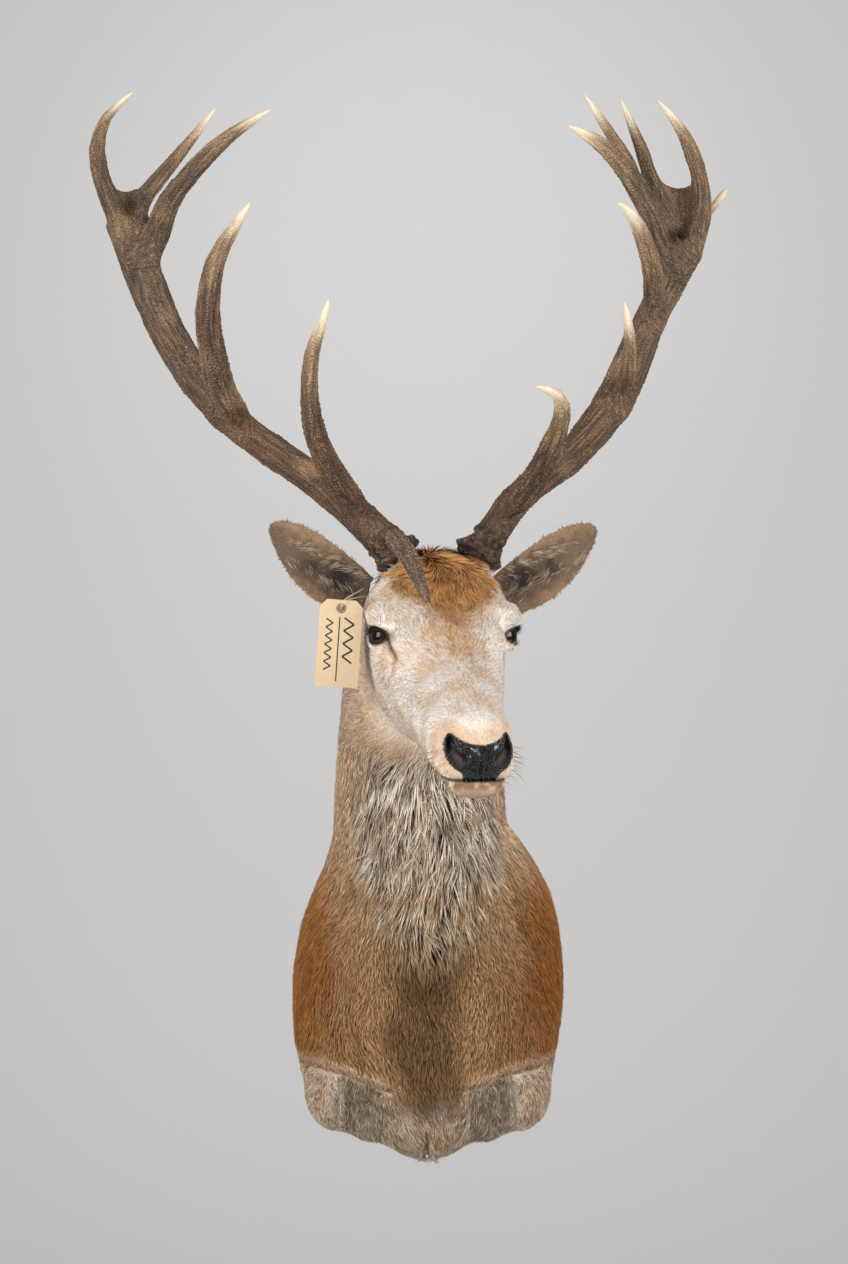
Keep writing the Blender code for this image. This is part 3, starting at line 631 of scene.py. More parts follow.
def sculpt_chest(points, normals):
    """Fold over the leg stumps, flat hollows at the armpits and the seam of the brisket."""
    height = points[:, 2]
    middle = from_middle(points)
    flat = np.abs(middle)
    front = smooth(-0.10, -0.20, points[:, 1]) * smooth(0.15, 0.60, -normals[:, 1])
    fold = fold_height(points) + 0.0015 * wave_noise(points, 0.03, 24)
    strength = fold_share(points) * front
    move = 0.0055 * bump(height, fold + 0.007, 0.009) * strength
    move -= 0.0075 * bump(height, fold - 0.006, 0.0055) * strength
    panel = smooth(0.050, 0.062, flat) * smooth(0.112, 0.100, flat)
    move -= 0.0100 * panel * bump(height, fold - 0.036, 0.034) * front
    # crease between each panel and its leg fold, and pinched edge of the leg fold
    leg_edge = 0.110 + 0.10 * np.maximum(fold - height, 0)
    under = smooth(0.004, -0.004, height - fold)
    move -= 0.0045 * bump(flat, leg_edge, 0.0035) * under * front
    move += 0.0040 * bump(flat, leg_edge + 0.010, 0.007) * under * front
    off_seam = middle - (0.0016 * np.sin(height * 420.0) + 0.0012 * np.sin(height * 910.0))
    move -= 0.0050 * bump(off_seam, 0.0, 0.0030) * smooth(CHEST_FOLD - 0.028, CHEST_FOLD - 0.048, height)
    lips = bump(np.abs(off_seam), 0.0075, 0.0035)
    move += 0.0022 * lips * smooth(CHEST_FOLD - 0.03, CHEST_FOLD - 0.05, height)
    # shallow furrow down the middle of the chest
    move -= 0.0050 * bump(middle, 0.004, 0.018) * bump(height, -0.06, 0.10) * front
    return points + normals * move[:, None]


def refine(obj, spots):
    """Halves the faces near each (place, radius, times) spot."""
    form = form_of(obj.data)
    for place, radius, times in spots:
        for turn in range(times):
            reach = radius * (1 - 0.18 * turn)
            edges = set()
            for face in form.faces:
                if (face.calc_center_median() - place).length < reach:
                    edges.update(face.edges)
            bmesh.ops.subdivide_edges(form, edges=list(edges), cuts=1, use_grid_fill=True)
    bmesh.ops.triangulate(form, faces=[face for face in form.faces if len(face.verts) > 4])
    form.to_mesh(obj.data)
    form.free()
    obj.data.update()


def socket_fill(name):
    """A ball inside each antler's burr, so that the skin closes under it."""
    form = bmesh.new()
    for side in ("right", "left"):
        low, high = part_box("antler_%s_burr" % side)
        place = Matrix.Translation((low + high) / 2 - UP * 0.010)
        bmesh.ops.create_icosphere(form, subdivisions=3, radius=0.026, matrix=place)
    return object_from(form, name)


def thinned(obj, share):
    """The same shape with a share of its triangles."""
    thinner = obj.modifiers.new("thin", "DECIMATE")
    thinner.ratio = share
    applied(obj)


def joined(objects, name):
    """One object of all the objects' meshes; the objects are removed."""
    form = bmesh.new()
    for obj in objects:
        form.from_mesh(obj.data)
        bpy.data.objects.remove(obj, do_unlink=True)
    return object_from(form, name)


def body_skin():
    """The skin without the ears, sculpted, and drawn in by the coat's depth."""
    flesh = merged_copy(FLESH + ("eye_left", "eye_right"), "flesh")
    skin = remeshed(joined([flesh, socket_fill("fill")], "skin"), SKIN_VOXEL, 10)
    points = points_of(skin.data)
    forward, _, up = head_coordinates(points)
    even = (1 - head_share(points)) * (0.15 + 0.85 * smooth(CHEST_FOLD, CHEST_FOLD + 0.03, points[:, 2]))
    even = np.maximum(even, 0.9 * smooth(-0.020, -0.060, forward) * smooth(0.010, -0.030, up))
    smooth_mesh(skin, SKIN_ROUNDS, even)
    # hollow behind the cheek: much smoothing, kept only where it fills
    before = points_of(skin.data)
    forward, aside, up = head_coordinates(before)
    crease = smooth(-0.015, -0.045, forward) * smooth(-0.150, -0.120, forward) * smooth(0.030, -0.010, up)
    smooth_mesh(skin, HOLLOW_ROUNDS, crease * smooth(0.030, 0.050, np.abs(aside)))
    points, normals = places_and_normals(skin)
    filled = np.maximum(along_rows(points - before, normals), 0)
    set_points(skin.data, before + normals * filled[:, None])
    smooth_mesh(skin, 3)
    points, normals = places_and_normals(skin)
    set_points(skin.data, points - normals * coat_depth(points)[:, None])
    smooth_mesh(skin, 4)
    nose = MID + FORWARD * (NOSE_TIP - 0.012) + UP * (MOUTH + 0.025)
    refine(skin, [(EYE[-1], 0.042, 2), (EYE[1], 0.042, 2), (nose, 0.062, 1), (nose, 0.052, 1)])
    points, normals = places_and_normals(skin)
    set_points(skin.data, sculpt_face(sculpt_chest(points, normals), normals))
    return skin


def whole_skin():
    """The skin and both ears as one mesh."""
    skin = body_skin()
    ears = remeshed(merged_copy(EARS, "ear_skin"), EAR_VOXEL, 4)
    union = skin.modifiers.new("ears", "BOOLEAN")
    union.operation = "UNION"
    union.object = ears
    union.solver = "MANIFOLD"
    applied(skin)
    bpy.data.objects.remove(ears, do_unlink=True)
    return skin


# ---- colours (linear, from sRGB values)
CREAM = srgb(238, 226, 215)
WARM_CREAM = srgb(228, 204, 178)
TAN = srgb(196, 154, 110)
RUFOUS = srgb(178, 122, 72)
DEEP_RUFOUS = srgb(104, 66, 34)
NECK_TAN = srgb(212, 176, 138)
THROAT_GREY = srgb(158, 142, 126)
NAPE_BROWN = srgb(146, 106, 70)
SHOULDER = srgb(152, 88, 30)
GOLDEN = srgb(184, 124, 54)
GOLDEN_TIP = srgb(212, 160, 96)
CHEST_BROWN = srgb(100, 72, 46)
CHEST_TAN = srgb(192, 150, 104)
BRISKET_FAWN = srgb(194, 164, 134)
ROOT_DARK = srgb(70, 56, 44)
ARMPIT_GREY = srgb(154, 132, 106)
LID_DARK = srgb(38, 28, 24)
LIP_DARK = srgb(22, 18, 18)
LIP_TAN = srgb(186, 144, 98)
NOSTRIL_GREY = srgb(82, 66, 60)
PAD_DARK = srgb(66, 62, 59)
PAD_GREY = srgb(150, 142, 136)
EAR_BROWN = srgb(108, 84, 64)
EAR_HOLLOW_SHADE = srgb(40, 30, 23)
EAR_HAIR = srgb(206, 188, 162)
EAR_GREY = srgb(108, 86, 68)
EAR_RIM = srgb(150, 122, 94)
PALE_TIP = srgb(234, 224, 208)


def ear_shares(points, ear_trees):
    """1 on each ear, in an array of rows for the right and the left ear."""
    shares = []
    for tree in ear_trees:
        gaps = np.array([tree.find_nearest(Vector(p), 0.004)[3] or 0.004 for p in points])
        shares.append(smooth(0.0032, 0.0012, gaps))
    return np.array(shares)


def near_ears(points):
    """Which points are close enough to the ears to be looked at one by one."""
    return near_node(points, EARS[0], 0.004) | near_node(points, EARS[1], 0.004)


def ear_points(side):
    return points_of(frame["nodes"]["ear_" + SIDE_NAMES[side]].data)


def ear_frame(side):
    """Root, tip and facing direction of one ear."""
    rows = ear_points(side)
    reach = rows @ np.array(LEFT) * side
    root = rows[reach < np.quantile(reach, 0.04)].mean(axis=0)
    facing = head_direction(0.80, 0.25 * side, 0.0)
    return root, rows[reach.argmax()], facing / np.linalg.norm(facing)


def ear_places(points, side):
    """Share of the way from root to tip, and offset across the ear, upward from its middle line."""
    root, tip, facing = ear_frame(side)
    span = tip - root
    upward = np.cross(facing, span / np.linalg.norm(span)) * side

    def measured(rows):
        along = (rows - root) @ span / (span @ span)
        return along, (rows - root - along[:, None] * span) @ upward

    node_along, node_across = measured(ear_points(side))
    inner = node_across[(node_along > 0.3) & (node_along < 0.7)]
    middle = (inner.min() + inner.max()) / 2
    along, across = measured(points)
    return along, across - middle


def face_colour(points, broad, fine):
    """Cream face with tan streaks on the forehead, a tan muzzle, greyer jaws and a rufous crown."""
    forward, aside, up = head_coordinates(points)
    flat = np.abs(aside)
    ridge = bump(flat + 0.012 * broad, 0.008, 0.024)
    ridge = ridge * smooth(0.150, 0.090, forward) * smooth(-0.060, -0.020, up)
    streaks = smooth(-0.3, 0.8, fine + 0.6 * broad)
    brow = bump(up, 0.040, 0.030) * smooth(0.045, 0.060, flat) * smooth(0.055, 0.0, forward)
    bridge = bump(forward, 0.090, 0.050) * smooth(0.060, 0.030, flat + 0.014 * fine)
    bridge = bridge * smooth(-0.1, 0.8, broad - 0.4 * fine)
    face = layered(mixed(CREAM, WARM_CREAM, smooth(-0.4, 1.2, broad + 0.4 * fine)),
                   (TAN, np.clip(ridge * (0.42 + 0.58 * streaks), 0, 1)),
                   (RUFOUS, 0.45 * ridge * smooth(0.5, 1.3, fine + 0.3 * broad)),
                   (TAN, 0.30 * brow * streaks),
                   (TAN, 0.42 * bridge))
    # painted shade: the top of the muzzle made darker, against the light that falls on it from above
    face = face * (1 - 0.24 * smooth(0.060, 0.120, forward) * smooth(-0.110, -0.080, up))[:, None]
    round_pad = smooth(0.024, 0.001, outline_gap(flat, up - MOUTH, PAD_OUTLINE))
    jaw = smooth(-0.105, -0.145, up) * smooth(0.135, 0.060, forward)
    back_cheek = smooth(-0.040, -0.085, forward + 0.010 * broad) * smooth(0.04, 0.06, flat)
    back_cheek = back_cheek * smooth(0.02, -0.02, up)
    crown = crown_share(points, 0.014)
    return layered(face, (TAN, 0.62 * round_pad * by_nose(0.075, 0.050, forward)),
                   (NECK_TAN, 0.55 * jaw), (NECK_TAN, 0.70 * back_cheek), (RUFOUS, crown),
                   (DEEP_RUFOUS, crown * 0.55 * smooth(0.2, 1.2, broad + fine)))


def brisket_colour(points, broad, fine):
    """Fawn hair below the chest's fold, with grey armpits and a dark seam."""
    height = points[:, 2]
    middle = from_middle(points)
    flat = np.abs(middle)
    panel = smooth(0.046, 0.060, flat) * smooth(0.116, 0.104, flat)
    seam = bump(middle, 0.0, 0.0036) * smooth(CHEST_FOLD - 0.028, CHEST_FOLD - 0.045, height)
    at_top = 0.6 * smooth(0.030, 0.005, flat) * smooth(CHEST_FOLD - 0.05, CHEST_FOLD, height)
    return layered(mixed(BRISKET_FAWN, CHEST_TAN, 0.6 * smooth(0.2, 1.4, broad)),
                   (ARMPIT_GREY, 0.85 * panel),
                   (PALE_TIP, 0.40 * bump(flat, 0.117, 0.010)),
                   (SHOULDER, 0.8 * smooth(-0.21, -0.10, points[:, 1] + 0.01 * fine)),
                   (CHEST_BROWN, at_top),
                   (DEEP_RUFOUS * 0.7, 0.45 * smooth(0.014, 0.004, height - BODY_LOW + 0.003 * fine)),
                   (DEEP_RUFOUS * 0.6, 0.8 * seam))


def body_colour(points, broad, fine):
    """Tan neck with a grey throat, golden and brown shoulders, a dark band down the chest."""
    height = points[:, 2]
    flat = np.abs(from_middle(points))
    front = smooth(-0.20, -0.30, points[:, 1])
    low = smooth(0.215, 0.070, height + 0.02 * broad)
    outer = np.maximum(smooth(0.078, 0.150, flat + 0.014 * fine + 0.012 * broad),
                       smooth(-0.27, -0.17, points[:, 1]))
    inner = smooth(0.110, -0.010, height)
    band = smooth(0.062, 0.018, flat + 0.010 * broad) * inner
    under_chin = bump(points[:, 0] - 0.008, 0.0, 0.036) * bump(height, 0.042, 0.055) * front
    at_fold = fold_share(points) * smooth(-0.10, -0.20, points[:, 1])
    fold = fold_height(points)
    below = below_fold(points, 0.004)
    body = layered(mixed(NECK_TAN, NAPE_BROWN, 0.75 * smooth(-0.20, -0.10, points[:, 1])),
                   (NAPE_BROWN, 0.35 * smooth(0.3, 1.5, broad)),
                   (CHEST_TAN, 0.85 * inner),
                   (SHOULDER, np.clip(0.95 * low * outer, 0, 1)),
                   (GOLDEN, 0.55 * low * outer * smooth(-0.5, 1.0, broad + 0.5 * fine)),
                   (CHEST_TAN, 0.75 * outer * smooth(-0.01, -0.10, height) * front),
                   (CHEST_BROWN, 0.80 * band),
                   (DEEP_RUFOUS, 0.35 * smooth(0.4, 1.5, 0.5 * broad - fine) * low * outer),
                   (THROAT_GREY, 0.80 * throat_share(points)),
                   (DEEP_RUFOUS * 0.35, 0.92 * under_chin))
    return layered(mixed(body, brisket_colour(points, broad, fine), below),
                   # painted shade: a dark line in the crease under the chest's fold, and a paler line along the
                   # fold's edge over it
                   (DEEP_RUFOUS * 0.6, 0.45 * bump(height, fold - 0.005, 0.0035) * at_fold),
                   (PALE_TIP, 0.30 * bump(height, fold + 0.006, 0.006) * at_fold))


def with_mouth(colour, points, fine):
    """Adds the dark lips, the chin, a painted shadow below the corners of the mouth, and the nose pad."""
    forward, aside, up = head_coordinates(points)
    flat = np.abs(aside)
    over = up - mouth_height(forward)
    thick = 0.0014 + 0.0010 * smooth(0.034, 0.020, flat)
    lips = np.exp(-((over + 0.0002) / thick) ** 2) * by_nose(0.100, 0.070, forward)
    # painted shadow below each corner of the mouth
    corner = bump(forward, NOSE_TIP - 0.058, 0.012)
    corner = corner * smooth(0.006, -0.004, over) * smooth(-0.020, -0.010, over)
    ahead = by_nose(0.075, 0.045, forward)
    wing = bump(up - MOUTH, 0.043, 0.008) * smooth(0.010, 0.026, flat)
    return layered(colour, (DEEP_RUFOUS * 0.45, 0.75 * corner),
                   (NAPE_BROWN * 0.5, 0.90 * bump(over, -0.0065, 0.0075) * ahead * smooth(-1.0, 0.2, fine)),
                   (LIP_TAN * 0.75, 0.85 * bump(over, -0.0190, 0.0100) * ahead),
                   (LIP_DARK, lips), (mixed(PAD_DARK, PAD_GREY, wing), pad_share(points)))


def with_eye_and_nostril(colour, points, side):
    """Adds the dark lids, the stained tear duct with a painted shadow along it, and the nostril of one side
    with painted shade inside it.
    """
    _, _, _, rise, outside = eye_opening(points, side)
    start, end, inward = tear_duct_line(side)
    way = end - start
    stain = groove(points, start + way * 0.85, end - UP * 0.014, 0.0050, inward)
    shadow = groove(points, start, start + way * 0.90, 0.0080, inward)
    line = groove(points, start, start + way * 0.90, 0.0058, inward)
    inside = nostril_gap_share(points, side)
    return layered(colour, (NAPE_BROWN, 0.55 * smooth(0.42, 0.20, outside)),
                   (LID_DARK, smooth(0.22, 0.12, outside)),
                   (CREAM, 0.80 * bump(outside, 0.62, 0.16) * smooth(0.0, 0.005, rise)),
                   (RUFOUS, 0.80 * np.clip(stain * 1.4, 0, 1)),
                   (NAPE_BROWN * 0.8, 0.62 * shadow),
                   (LID_DARK, np.clip(1.6 * line - 0.3, 0, 0.95)),
                   # painted shade: the inside of the nostril near black, for the shade in its hole; its floor
                   # then gets a paler grey
                   (LIP_DARK * 0.35, inside),
                   (NOSTRIL_GREY, 0.75 * inside * nostril_floor(points, side) ** 1.5))


def ear_colour(points, normals, side, fine):
    """Brown back of an ear, and its grey inside with a paler rim and painted shade in its hollows."""
    along, across = ear_places(points, side)
    # painted shade: near black in the hollow at the ear's base and in a patch in the middle of its cup
    hollow = bump(along + 0.03 * fine, 0.25, 0.15) * bump(across, -0.002, 0.015)
    patch = 0.7 * bump(along, 0.52, 0.10) * bump(across, -0.004 + 0.004 * fine, 0.010)
    inside = layered(mixed(EAR_GREY, EAR_RIM, smooth(0.016, 0.031, np.abs(across + 0.004 * fine))),
                     (EAR_HOLLOW_SHADE, np.clip(1.25 * np.maximum(hollow, patch), 0, 0.96)))
    return mixed(EAR_BROWN, inside, smooth(-0.15, 0.25, normals @ ear_frame(side)[2]))


def coat_colour(points, normals, ears):
    """Colour of the skin and of the coat at each point."""
    broad, fine = wave_noise(points, 0.060, 21), wave_noise(points, 0.016, 22)
    colour = mixed(body_colour(points, broad, fine), face_colour(points, broad, fine),
                   head_share(points, 0.022))
    colour = with_mouth(colour, points, fine)
    for side in (-1, 1):
        colour = with_eye_and_nostril(colour, points, side)
    for side, share in zip((-1, 1), ears):
        colour = mixed(colour, ear_colour(points, normals, side, fine), share)
    return colour


# ---- lie and length of the hair
def turned(ways, normals, angles):
    """Turns each direction about its normal."""
    cosine, sine = np.cos(angles)[:, None], np.sin(angles)[:, None]
    return ways * cosine + np.cross(normals, ways) * sine


def coat_lie(points, normals, ears):
    """Direction in which the hair lies along the skin."""
    forward, aside, up = head_coordinates(points)
    side = np.clip(aside / 0.014, -1, 1)
    ahead, left, high = (np.array(axis) for axis in (FORWARD, LEFT, UP))
    cheek = smooth(-0.02, -0.09, up) * smooth(0.02, 0.04, np.abs(aside))
    brow = smooth(-0.03, 0.02, up) * smooth(0.07, 0.02, forward)
    face = -ahead * np.ones((len(points), 1)) + left * (side * (0.25 + 0.5 * brow))[:, None]
    face = face + high * (0.5 * brow - 0.55 * cheek)[:, None]
    crown = crown_share(points, 0.010)
    face = mixed(face, ahead * 0.9 + left * (0.5 * side)[:, None] - high * 0.5, crown)
    side_share = smooth(0.03, 0.12, np.abs(points[:, 0]))
    body = -high * np.ones((len(points), 1)) + np.array((0.0, 1.0, 0.0)) * (0.30 * side_share)[:, None]
    beside = from_middle(points)
    inward = smooth(0.03, -0.11, points[:, 2]) * smooth(0.015, 0.080, np.abs(beside))
    inward = inward * smooth(-0.16, -0.26, points[:, 1]) * (1 - below_fold(points, 0.006))
    body[:, 0] -= np.sign(beside) * 0.75 * inward
    share = head_share(points, 0.03)
    ways = mixed(unit(body), unit(face), share)
    for ear_side, ear in zip((-1, 1), ears):
        root, tip, facing = ear_frame(ear_side)
        across = ear_places(points, ear_side)[1]
        upward = np.cross(facing, tip - root) * ear_side / np.linalg.norm(tip - root)
        outward = (tip - root) / np.linalg.norm(tip - root) + upward * (across * 45)[:, None]
        ways = mixed(ways, outward, ear)
    ways = unit(ways - normals * along_rows(ways, normals)[:, None])
    swirl = 0.30 * wave_noise(points, 0.11, 31) + 0.22 * wave_noise(points, 0.035, 32)
    return turned(ways, normals, swirl * (1 + 0.9 * brow * share + 1.2 * crown * share))


def bare_share(points):
    """1 where no hair grows: nose pad, lips, lids, nostrils, tear ducts, burrs and the mount's back."""
    forward, _, up = head_coordinates(points)
    at_mouth = by_nose(0.085, 0.070, forward)
    bare = [smooth(0.25, 0.6, pad_share(points)),
            at_mouth * smooth(0.0042, 0.0026, np.abs(up - mouth_height(forward)))]
    for side in (-1, 1):
        start, end, inward = tear_duct_line(side)
        duct = groove(points, start, start + (end - start) * 0.90, 0.0062, inward)
        burr_gap = lengths_of(points - np.array(node_centre("antler_%s_burr" % SIDE_NAMES[side])))
        bare += [smooth(0.30, 0.18, eye_opening(points, side)[4]),
                 smooth(0.0030, 0.0018, nostril_gap(points, side)),
                 smooth(0.30, 0.50, duct), smooth(0.033, 0.027, burr_gap)]
    return np.max(bare + [smooth(-0.010, -0.006, points[:, 1])], axis=0)


# tufts for each square metre
FACE_DENSE = 245000
CROWN_DENSE = 380000
NECK_DENSE = 122000
BODY_DENSE = 128000
BRISKET_DENSE = 145000
EAR_STYLE = (0.0052, 0.0011, 190000)     # length and width of its hair, and density


def coat_style(points, ears):
    """Length, width, density (tufts for each square metre) and paleness of the tips."""
    forward, _, up = head_coordinates(points)
    height = points[:, 2]
    # face and crown
    crown = crown_share(points, 0.016)
    deep_crown = crown * smooth(0.040, 0.062, up)
    length = 0.0060 + 0.0040 * smooth(0.13, 0.0, forward)
    length = length * (1 - 0.45 * by_nose(0.06, 0.02, forward))
    length = length + 0.008 * (smooth(-0.035, -0.080, forward) * smooth(0.02, -0.03, up))
    face = (between(length, 0.0140, crown) + 0.0100 * deep_crown,
            between(0.00105, 0.0012, crown) + 0.0004 * deep_crown,
            between(FACE_DENSE, CROWN_DENSE, crown))
    # neck, body and brisket
    low = smooth(0.21, 0.08, height)
    throat = throat_share(points)
    below = below_fold(points, 0.005)
    near_fold = fold_share(points) * smooth(0.034, 0.004, height - fold_height(points))
    length = (between(0.024, 0.0165, low) + 0.026 * throat) * (1 - 0.50 * near_fold)
    stump = 0.0130 - 0.0035 * smooth(0.095, 0.110, np.abs(points[:, 0]))
    body = (between(length, stump, below),
            between(0.00155 + 0.00035 * throat, 0.0014, below),
            between(between(NECK_DENSE, BODY_DENSE, low), BRISKET_DENSE, below))
    share = head_share(points, 0.02)
    ear = ears.sum(axis=0)
    length, width, dense = (between(between(of_body, of_face, share), of_ear, ear)
                            for of_body, of_face, of_ear in zip(body, face, EAR_STYLE))
    for side in (-1, 1):
        start, end, inward = tear_duct_line(side)
        length = length * (1 - 0.60 * groove(points, start, end, 0.0120, inward))
    shade = smooth(0.21, 0.06, height)
    pale = 0.25 * share + (1 - share) * (0.42 - 0.20 * shade + 0.48 * throat) * (1 - 0.3 * below)
    return length, width, dense * (1 - bare_share(points)), pale + 0.30 * crown


def unwrap(points, normals, ears):
    """Place of each point on an unwrap of the skin's own shape, from 0 to 1 both ways."""
    forward, aside, up = head_coordinates(points)
    share = head_share(points, 0.02)
    turn = np.arctan2(points[:, 0] - 0.003, -(points[:, 1] + 0.15)) / (2 * math.pi) + 0.5
    body = np.stack((0.02 + 0.56 * turn, 0.02 + 0.90 * (points[:, 2] - BODY_LOW) / 0.80), axis=1)
    head_turn = np.arctan2(aside, up + 0.03) / (2 * math.pi) + 0.5
    head = np.stack((0.62 + 0.36 * head_turn, 0.04 + 0.62 * (forward + 0.20) / 0.45), axis=1)
    spots = np.where((share > 0.5)[:, None], head, body)
    for index, side in enumerate((-1, 1)):
        along, across = ear_places(points, side)
        inside = (normals @ ear_frame(side)[2]) > 0
        column = 0.66 + 0.10 * (2 * index + inside)
        island = np.stack((column + across * 1.1, 0.72 + 0.24 * along), axis=1)
        spots = np.where((ears[index] > 0.5)[:, None], island, spots)
    return np.clip(spots, 0.004, 0.996)


# ---- tufts
PATCH = 0.003                # size of one tuft's patch on the unwrap
# places of its cross-sections, thickness and triangles of each kind of tuft
TUFT_KINDS = {"short": ((0.0, 0.5), 0.07, 10),
              "middle": ((0.0, 0.46), 0.035, 10),
              "long": ((0.0, 0.32, 0.66), 0.022, 16)}
SHORT_HAIR = 0.0125          # longest hair made of short tufts
MIDDLE_HAIR = 0.034          # longest hair made of middle ones
VARIANTS = 4


def tuft_shape(name, stations, rng, thickness):
    """A closed tapering lock of length 1 along +Y that curves sideways and back down."""
    sway, curl = rng.uniform(-0.10, 0.10), rng.uniform(-0.06, 0.06)
    droop = rng.uniform(0.06, 0.14)
    phase = rng.uniform(0, 2 * math.pi)

    def middle(share):
        across = sway * share ** 2 + curl * math.sin(share * 5.5 + phase) * share
        return Vector((across * 6, share, 0.10 * share - droop * share ** 2))

    verts, patch = [], []
    for share in stations:
        half = 0.5 * (0.62 + 1.1 * share if share < 0.35 else 1.0) * (1 - share) ** 0.55
        for x, z in ((-half, 0.0), (half, 0.0), (0.0, thickness * (1 - 0.5 * share))):
            verts.append(middle(share) + Vector((x, 0, z)))
            patch.append((x + 0.5, share, 0))
    verts.append(middle(1.0))
    patch.append((0.5, 1.0, 0))
    faces = [(0, 1, 2)]
    for base in range(0, 3 * len(stations), 3):
        for corner in range(3):
            nearby = (corner + 1) % 3
            top = (base + 3 + corner, base + 3 + nearby) if base + 6 < len(verts) else (len(verts) - 1,)
            faces.append((base + nearby, base + corner) + top)
    obj = mesh_object(name, verts, faces)
    vertex_layer(obj.data, "along", [row[1] for row in patch])
    vertex_layer(obj.data, "patch", patch, "FLOAT_VECTOR")
    bpy.context.scene.collection.objects.unlink(obj)
    return obj


def tuft_shapes(kind):
    """A collection of a few bent tuft shapes of one kind."""
    group = bpy.data.collections.new("tufts_" + kind)
    rng = np.random.default_rng(SEED + len(kind))
    stations, thickness, _ = TUFT_KINDS[kind]
    for index in range(VARIANTS):
        group.objects.link(tuft_shape("%s_tuft_%d" % (kind, index), stations, rng, thickness))
    return group


def tuft_tree():
    """Node tree that sets tuft shapes on root points and gives each its patch on the unwrap."""
    tree = bpy.data.node_groups.new("tufts_on_roots", "GeometryNodeTree")
    for label, kind in (("Roots", "Geometry"), ("Shapes", "Collection"), ("Hair Material", "Material"),
                        ("Patch Size", "Float"), ("Seed", "Int")):
        tree.interface.new_socket(label, in_out="INPUT", socket_type="NodeSocket" + kind)
    tree.interface.new_socket("Coat", in_out="OUTPUT", socket_type="NodeSocketGeometry")
    n = Nodes(tree)

    def stored(name, kind):
        return n.add("GeometryNodeInputNamedAttribute", {"Name": name}, data_type=kind).outputs["Attribute"]

    def vector(operation, inputs):
        return n.add("ShaderNodeVectorMath", inputs, operation=operation).outputs["Vector"]

    given = n.add("NodeGroupInput").outputs
    shapes = n.add("GeometryNodeCollectionInfo", {"Separate Children": True, "Reset Children": True,
                                                  "Collection": given["Shapes"]}).outputs["Instances"]
    aim = n.add("FunctionNodeAxesToRotation", {"Primary Axis": stored("lie", "FLOAT_VECTOR"),
                                               "Secondary Axis": stored("out", "FLOAT_VECTOR")},
                primary_axis="Y", secondary_axis="Z").outputs["Rotation"]
    jitter = n.add("FunctionNodeRandomValue", {2: 0.8, 3: 1.2, "Seed": given["Seed"]},
                   data_type="FLOAT").outputs[1]
    size = vector("SCALE", {0: stored("size", "FLOAT_VECTOR"), "Scale": jitter})
    place = n.add("GeometryNodeInstanceOnPoints", {
        "Points": given["Roots"], "Instance": shapes, "Pick Instance": True, "Rotation": aim, "Scale": size,
        "Instance Index": stored("shape", "INT")}).outputs["Instances"]
    real = n.add("GeometryNodeRealizeInstances", {"Geometry": place}).outputs["Geometry"]
    patch = vector("SCALE", {0: stored("patch", "FLOAT_VECTOR"), "Scale": given["Patch Size"]})
    spot = vector("ADD", {0: stored("spot", "FLOAT_VECTOR"), 1: patch})
    keep = n.add("GeometryNodeStoreNamedAttribute", {"Name": "OFBake", "Geometry": real},
                 data_type="FLOAT2", domain="CORNER")
    paint = n.add("GeometryNodeSetMaterial", {"Geometry": n.feed(keep, {"Value": spot}).outputs["Geometry"],
                                              "Material": given["Hair Material"]}).outputs["Geometry"]
    n.add("NodeGroupOutput", {"Coat": paint})
    return tree


def socket_name(tree, label):
    """Identifier of a tree's input, from its name."""
    return next(item.identifier for item in tree.interface.items_tree
                if item.item_type == "SOCKET" and item.in_out == "INPUT" and item.name == label)


def grow(name, roots, shapes, tree, mat):
    """One piece of coat: a tuft at each root. roots holds rows named as the tree's attributes."""
    base = mesh_object(name, roots["place"], [])
    for key in ("lie", "out", "size", "spot"):
        vertex_layer(base.data, key, roots[key], "FLOAT_VECTOR")
    vertex_layer(base.data, "pale", roots["pale"])
    colour_layer(base.data, "tint", roots["tint"])
    base.data.attributes.new("shape", "INT", "POINT").data.foreach_set("value", roots["shape"])
    grower = base.modifiers.new("tufts", "NODES")
    grower.node_group = tree
    for label, value in (("Shapes", shapes), ("Hair Material", mat), ("Patch Size", PATCH), ("Seed", SEED)):
        grower[socket_name(tree, label)] = value
    applied(base)
    for key in ("lie", "out", "size", "spot", "shape", "patch"):
        layer = base.data.attributes.get(key)
        if layer is not None:
            base.data.attributes.remove(layer)
    if not base.data.materials:
        base.data.materials.append(mat)
    base.data.shade_smooth()
    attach(base, "root")


def root_rows(places, ways, outs, widths, lengths, spots, pale, tint, rng):
    """Rows for grow()."""
    return {"place": places, "lie": ways, "out": outs, "size": np.stack((widths, lengths, lengths), axis=1),
            "spot": np.column_stack((spots, np.zeros(len(places)))), "pale": pale, "tint": tint,
            "shape": rng.integers(0, VARIANTS, len(places))}


def root_samples(mesh, count_share, ears_of):
    """Even random places on the skin, as many as the coat's density asks for."""
    points, normals = points_of(mesh), rows_of(mesh, "normal")
    corners = triangle_corners(mesh)
    a, b, c = (points[corners[:, i]] for i in range(3))
    areas = lengths_of(np.cross(b - a, c - a)) / 2
    centres = (a + b + c) / 3
    weights = np.cumsum(areas * coat_style(centres, ears_of(centres))[2] * count_share)
    count = int(weights[-1])
    rng = np.random.default_rng(SEED)
    picks = np.searchsorted(weights, (np.arange(count) + rng.uniform(0, 1, count)) / count * weights[-1])
    picks = np.minimum(picks, len(corners) - 1)
    first, second = triangle_draws(rng, count)
    shares = np.stack((1 - first - second, first, second), axis=1)
    places, outs = (sum(rows[corners[picks, i]] * shares[:, i:i + 1] for i in range(3))
                    for rows in (points, normals))
    return places, unit(outs)


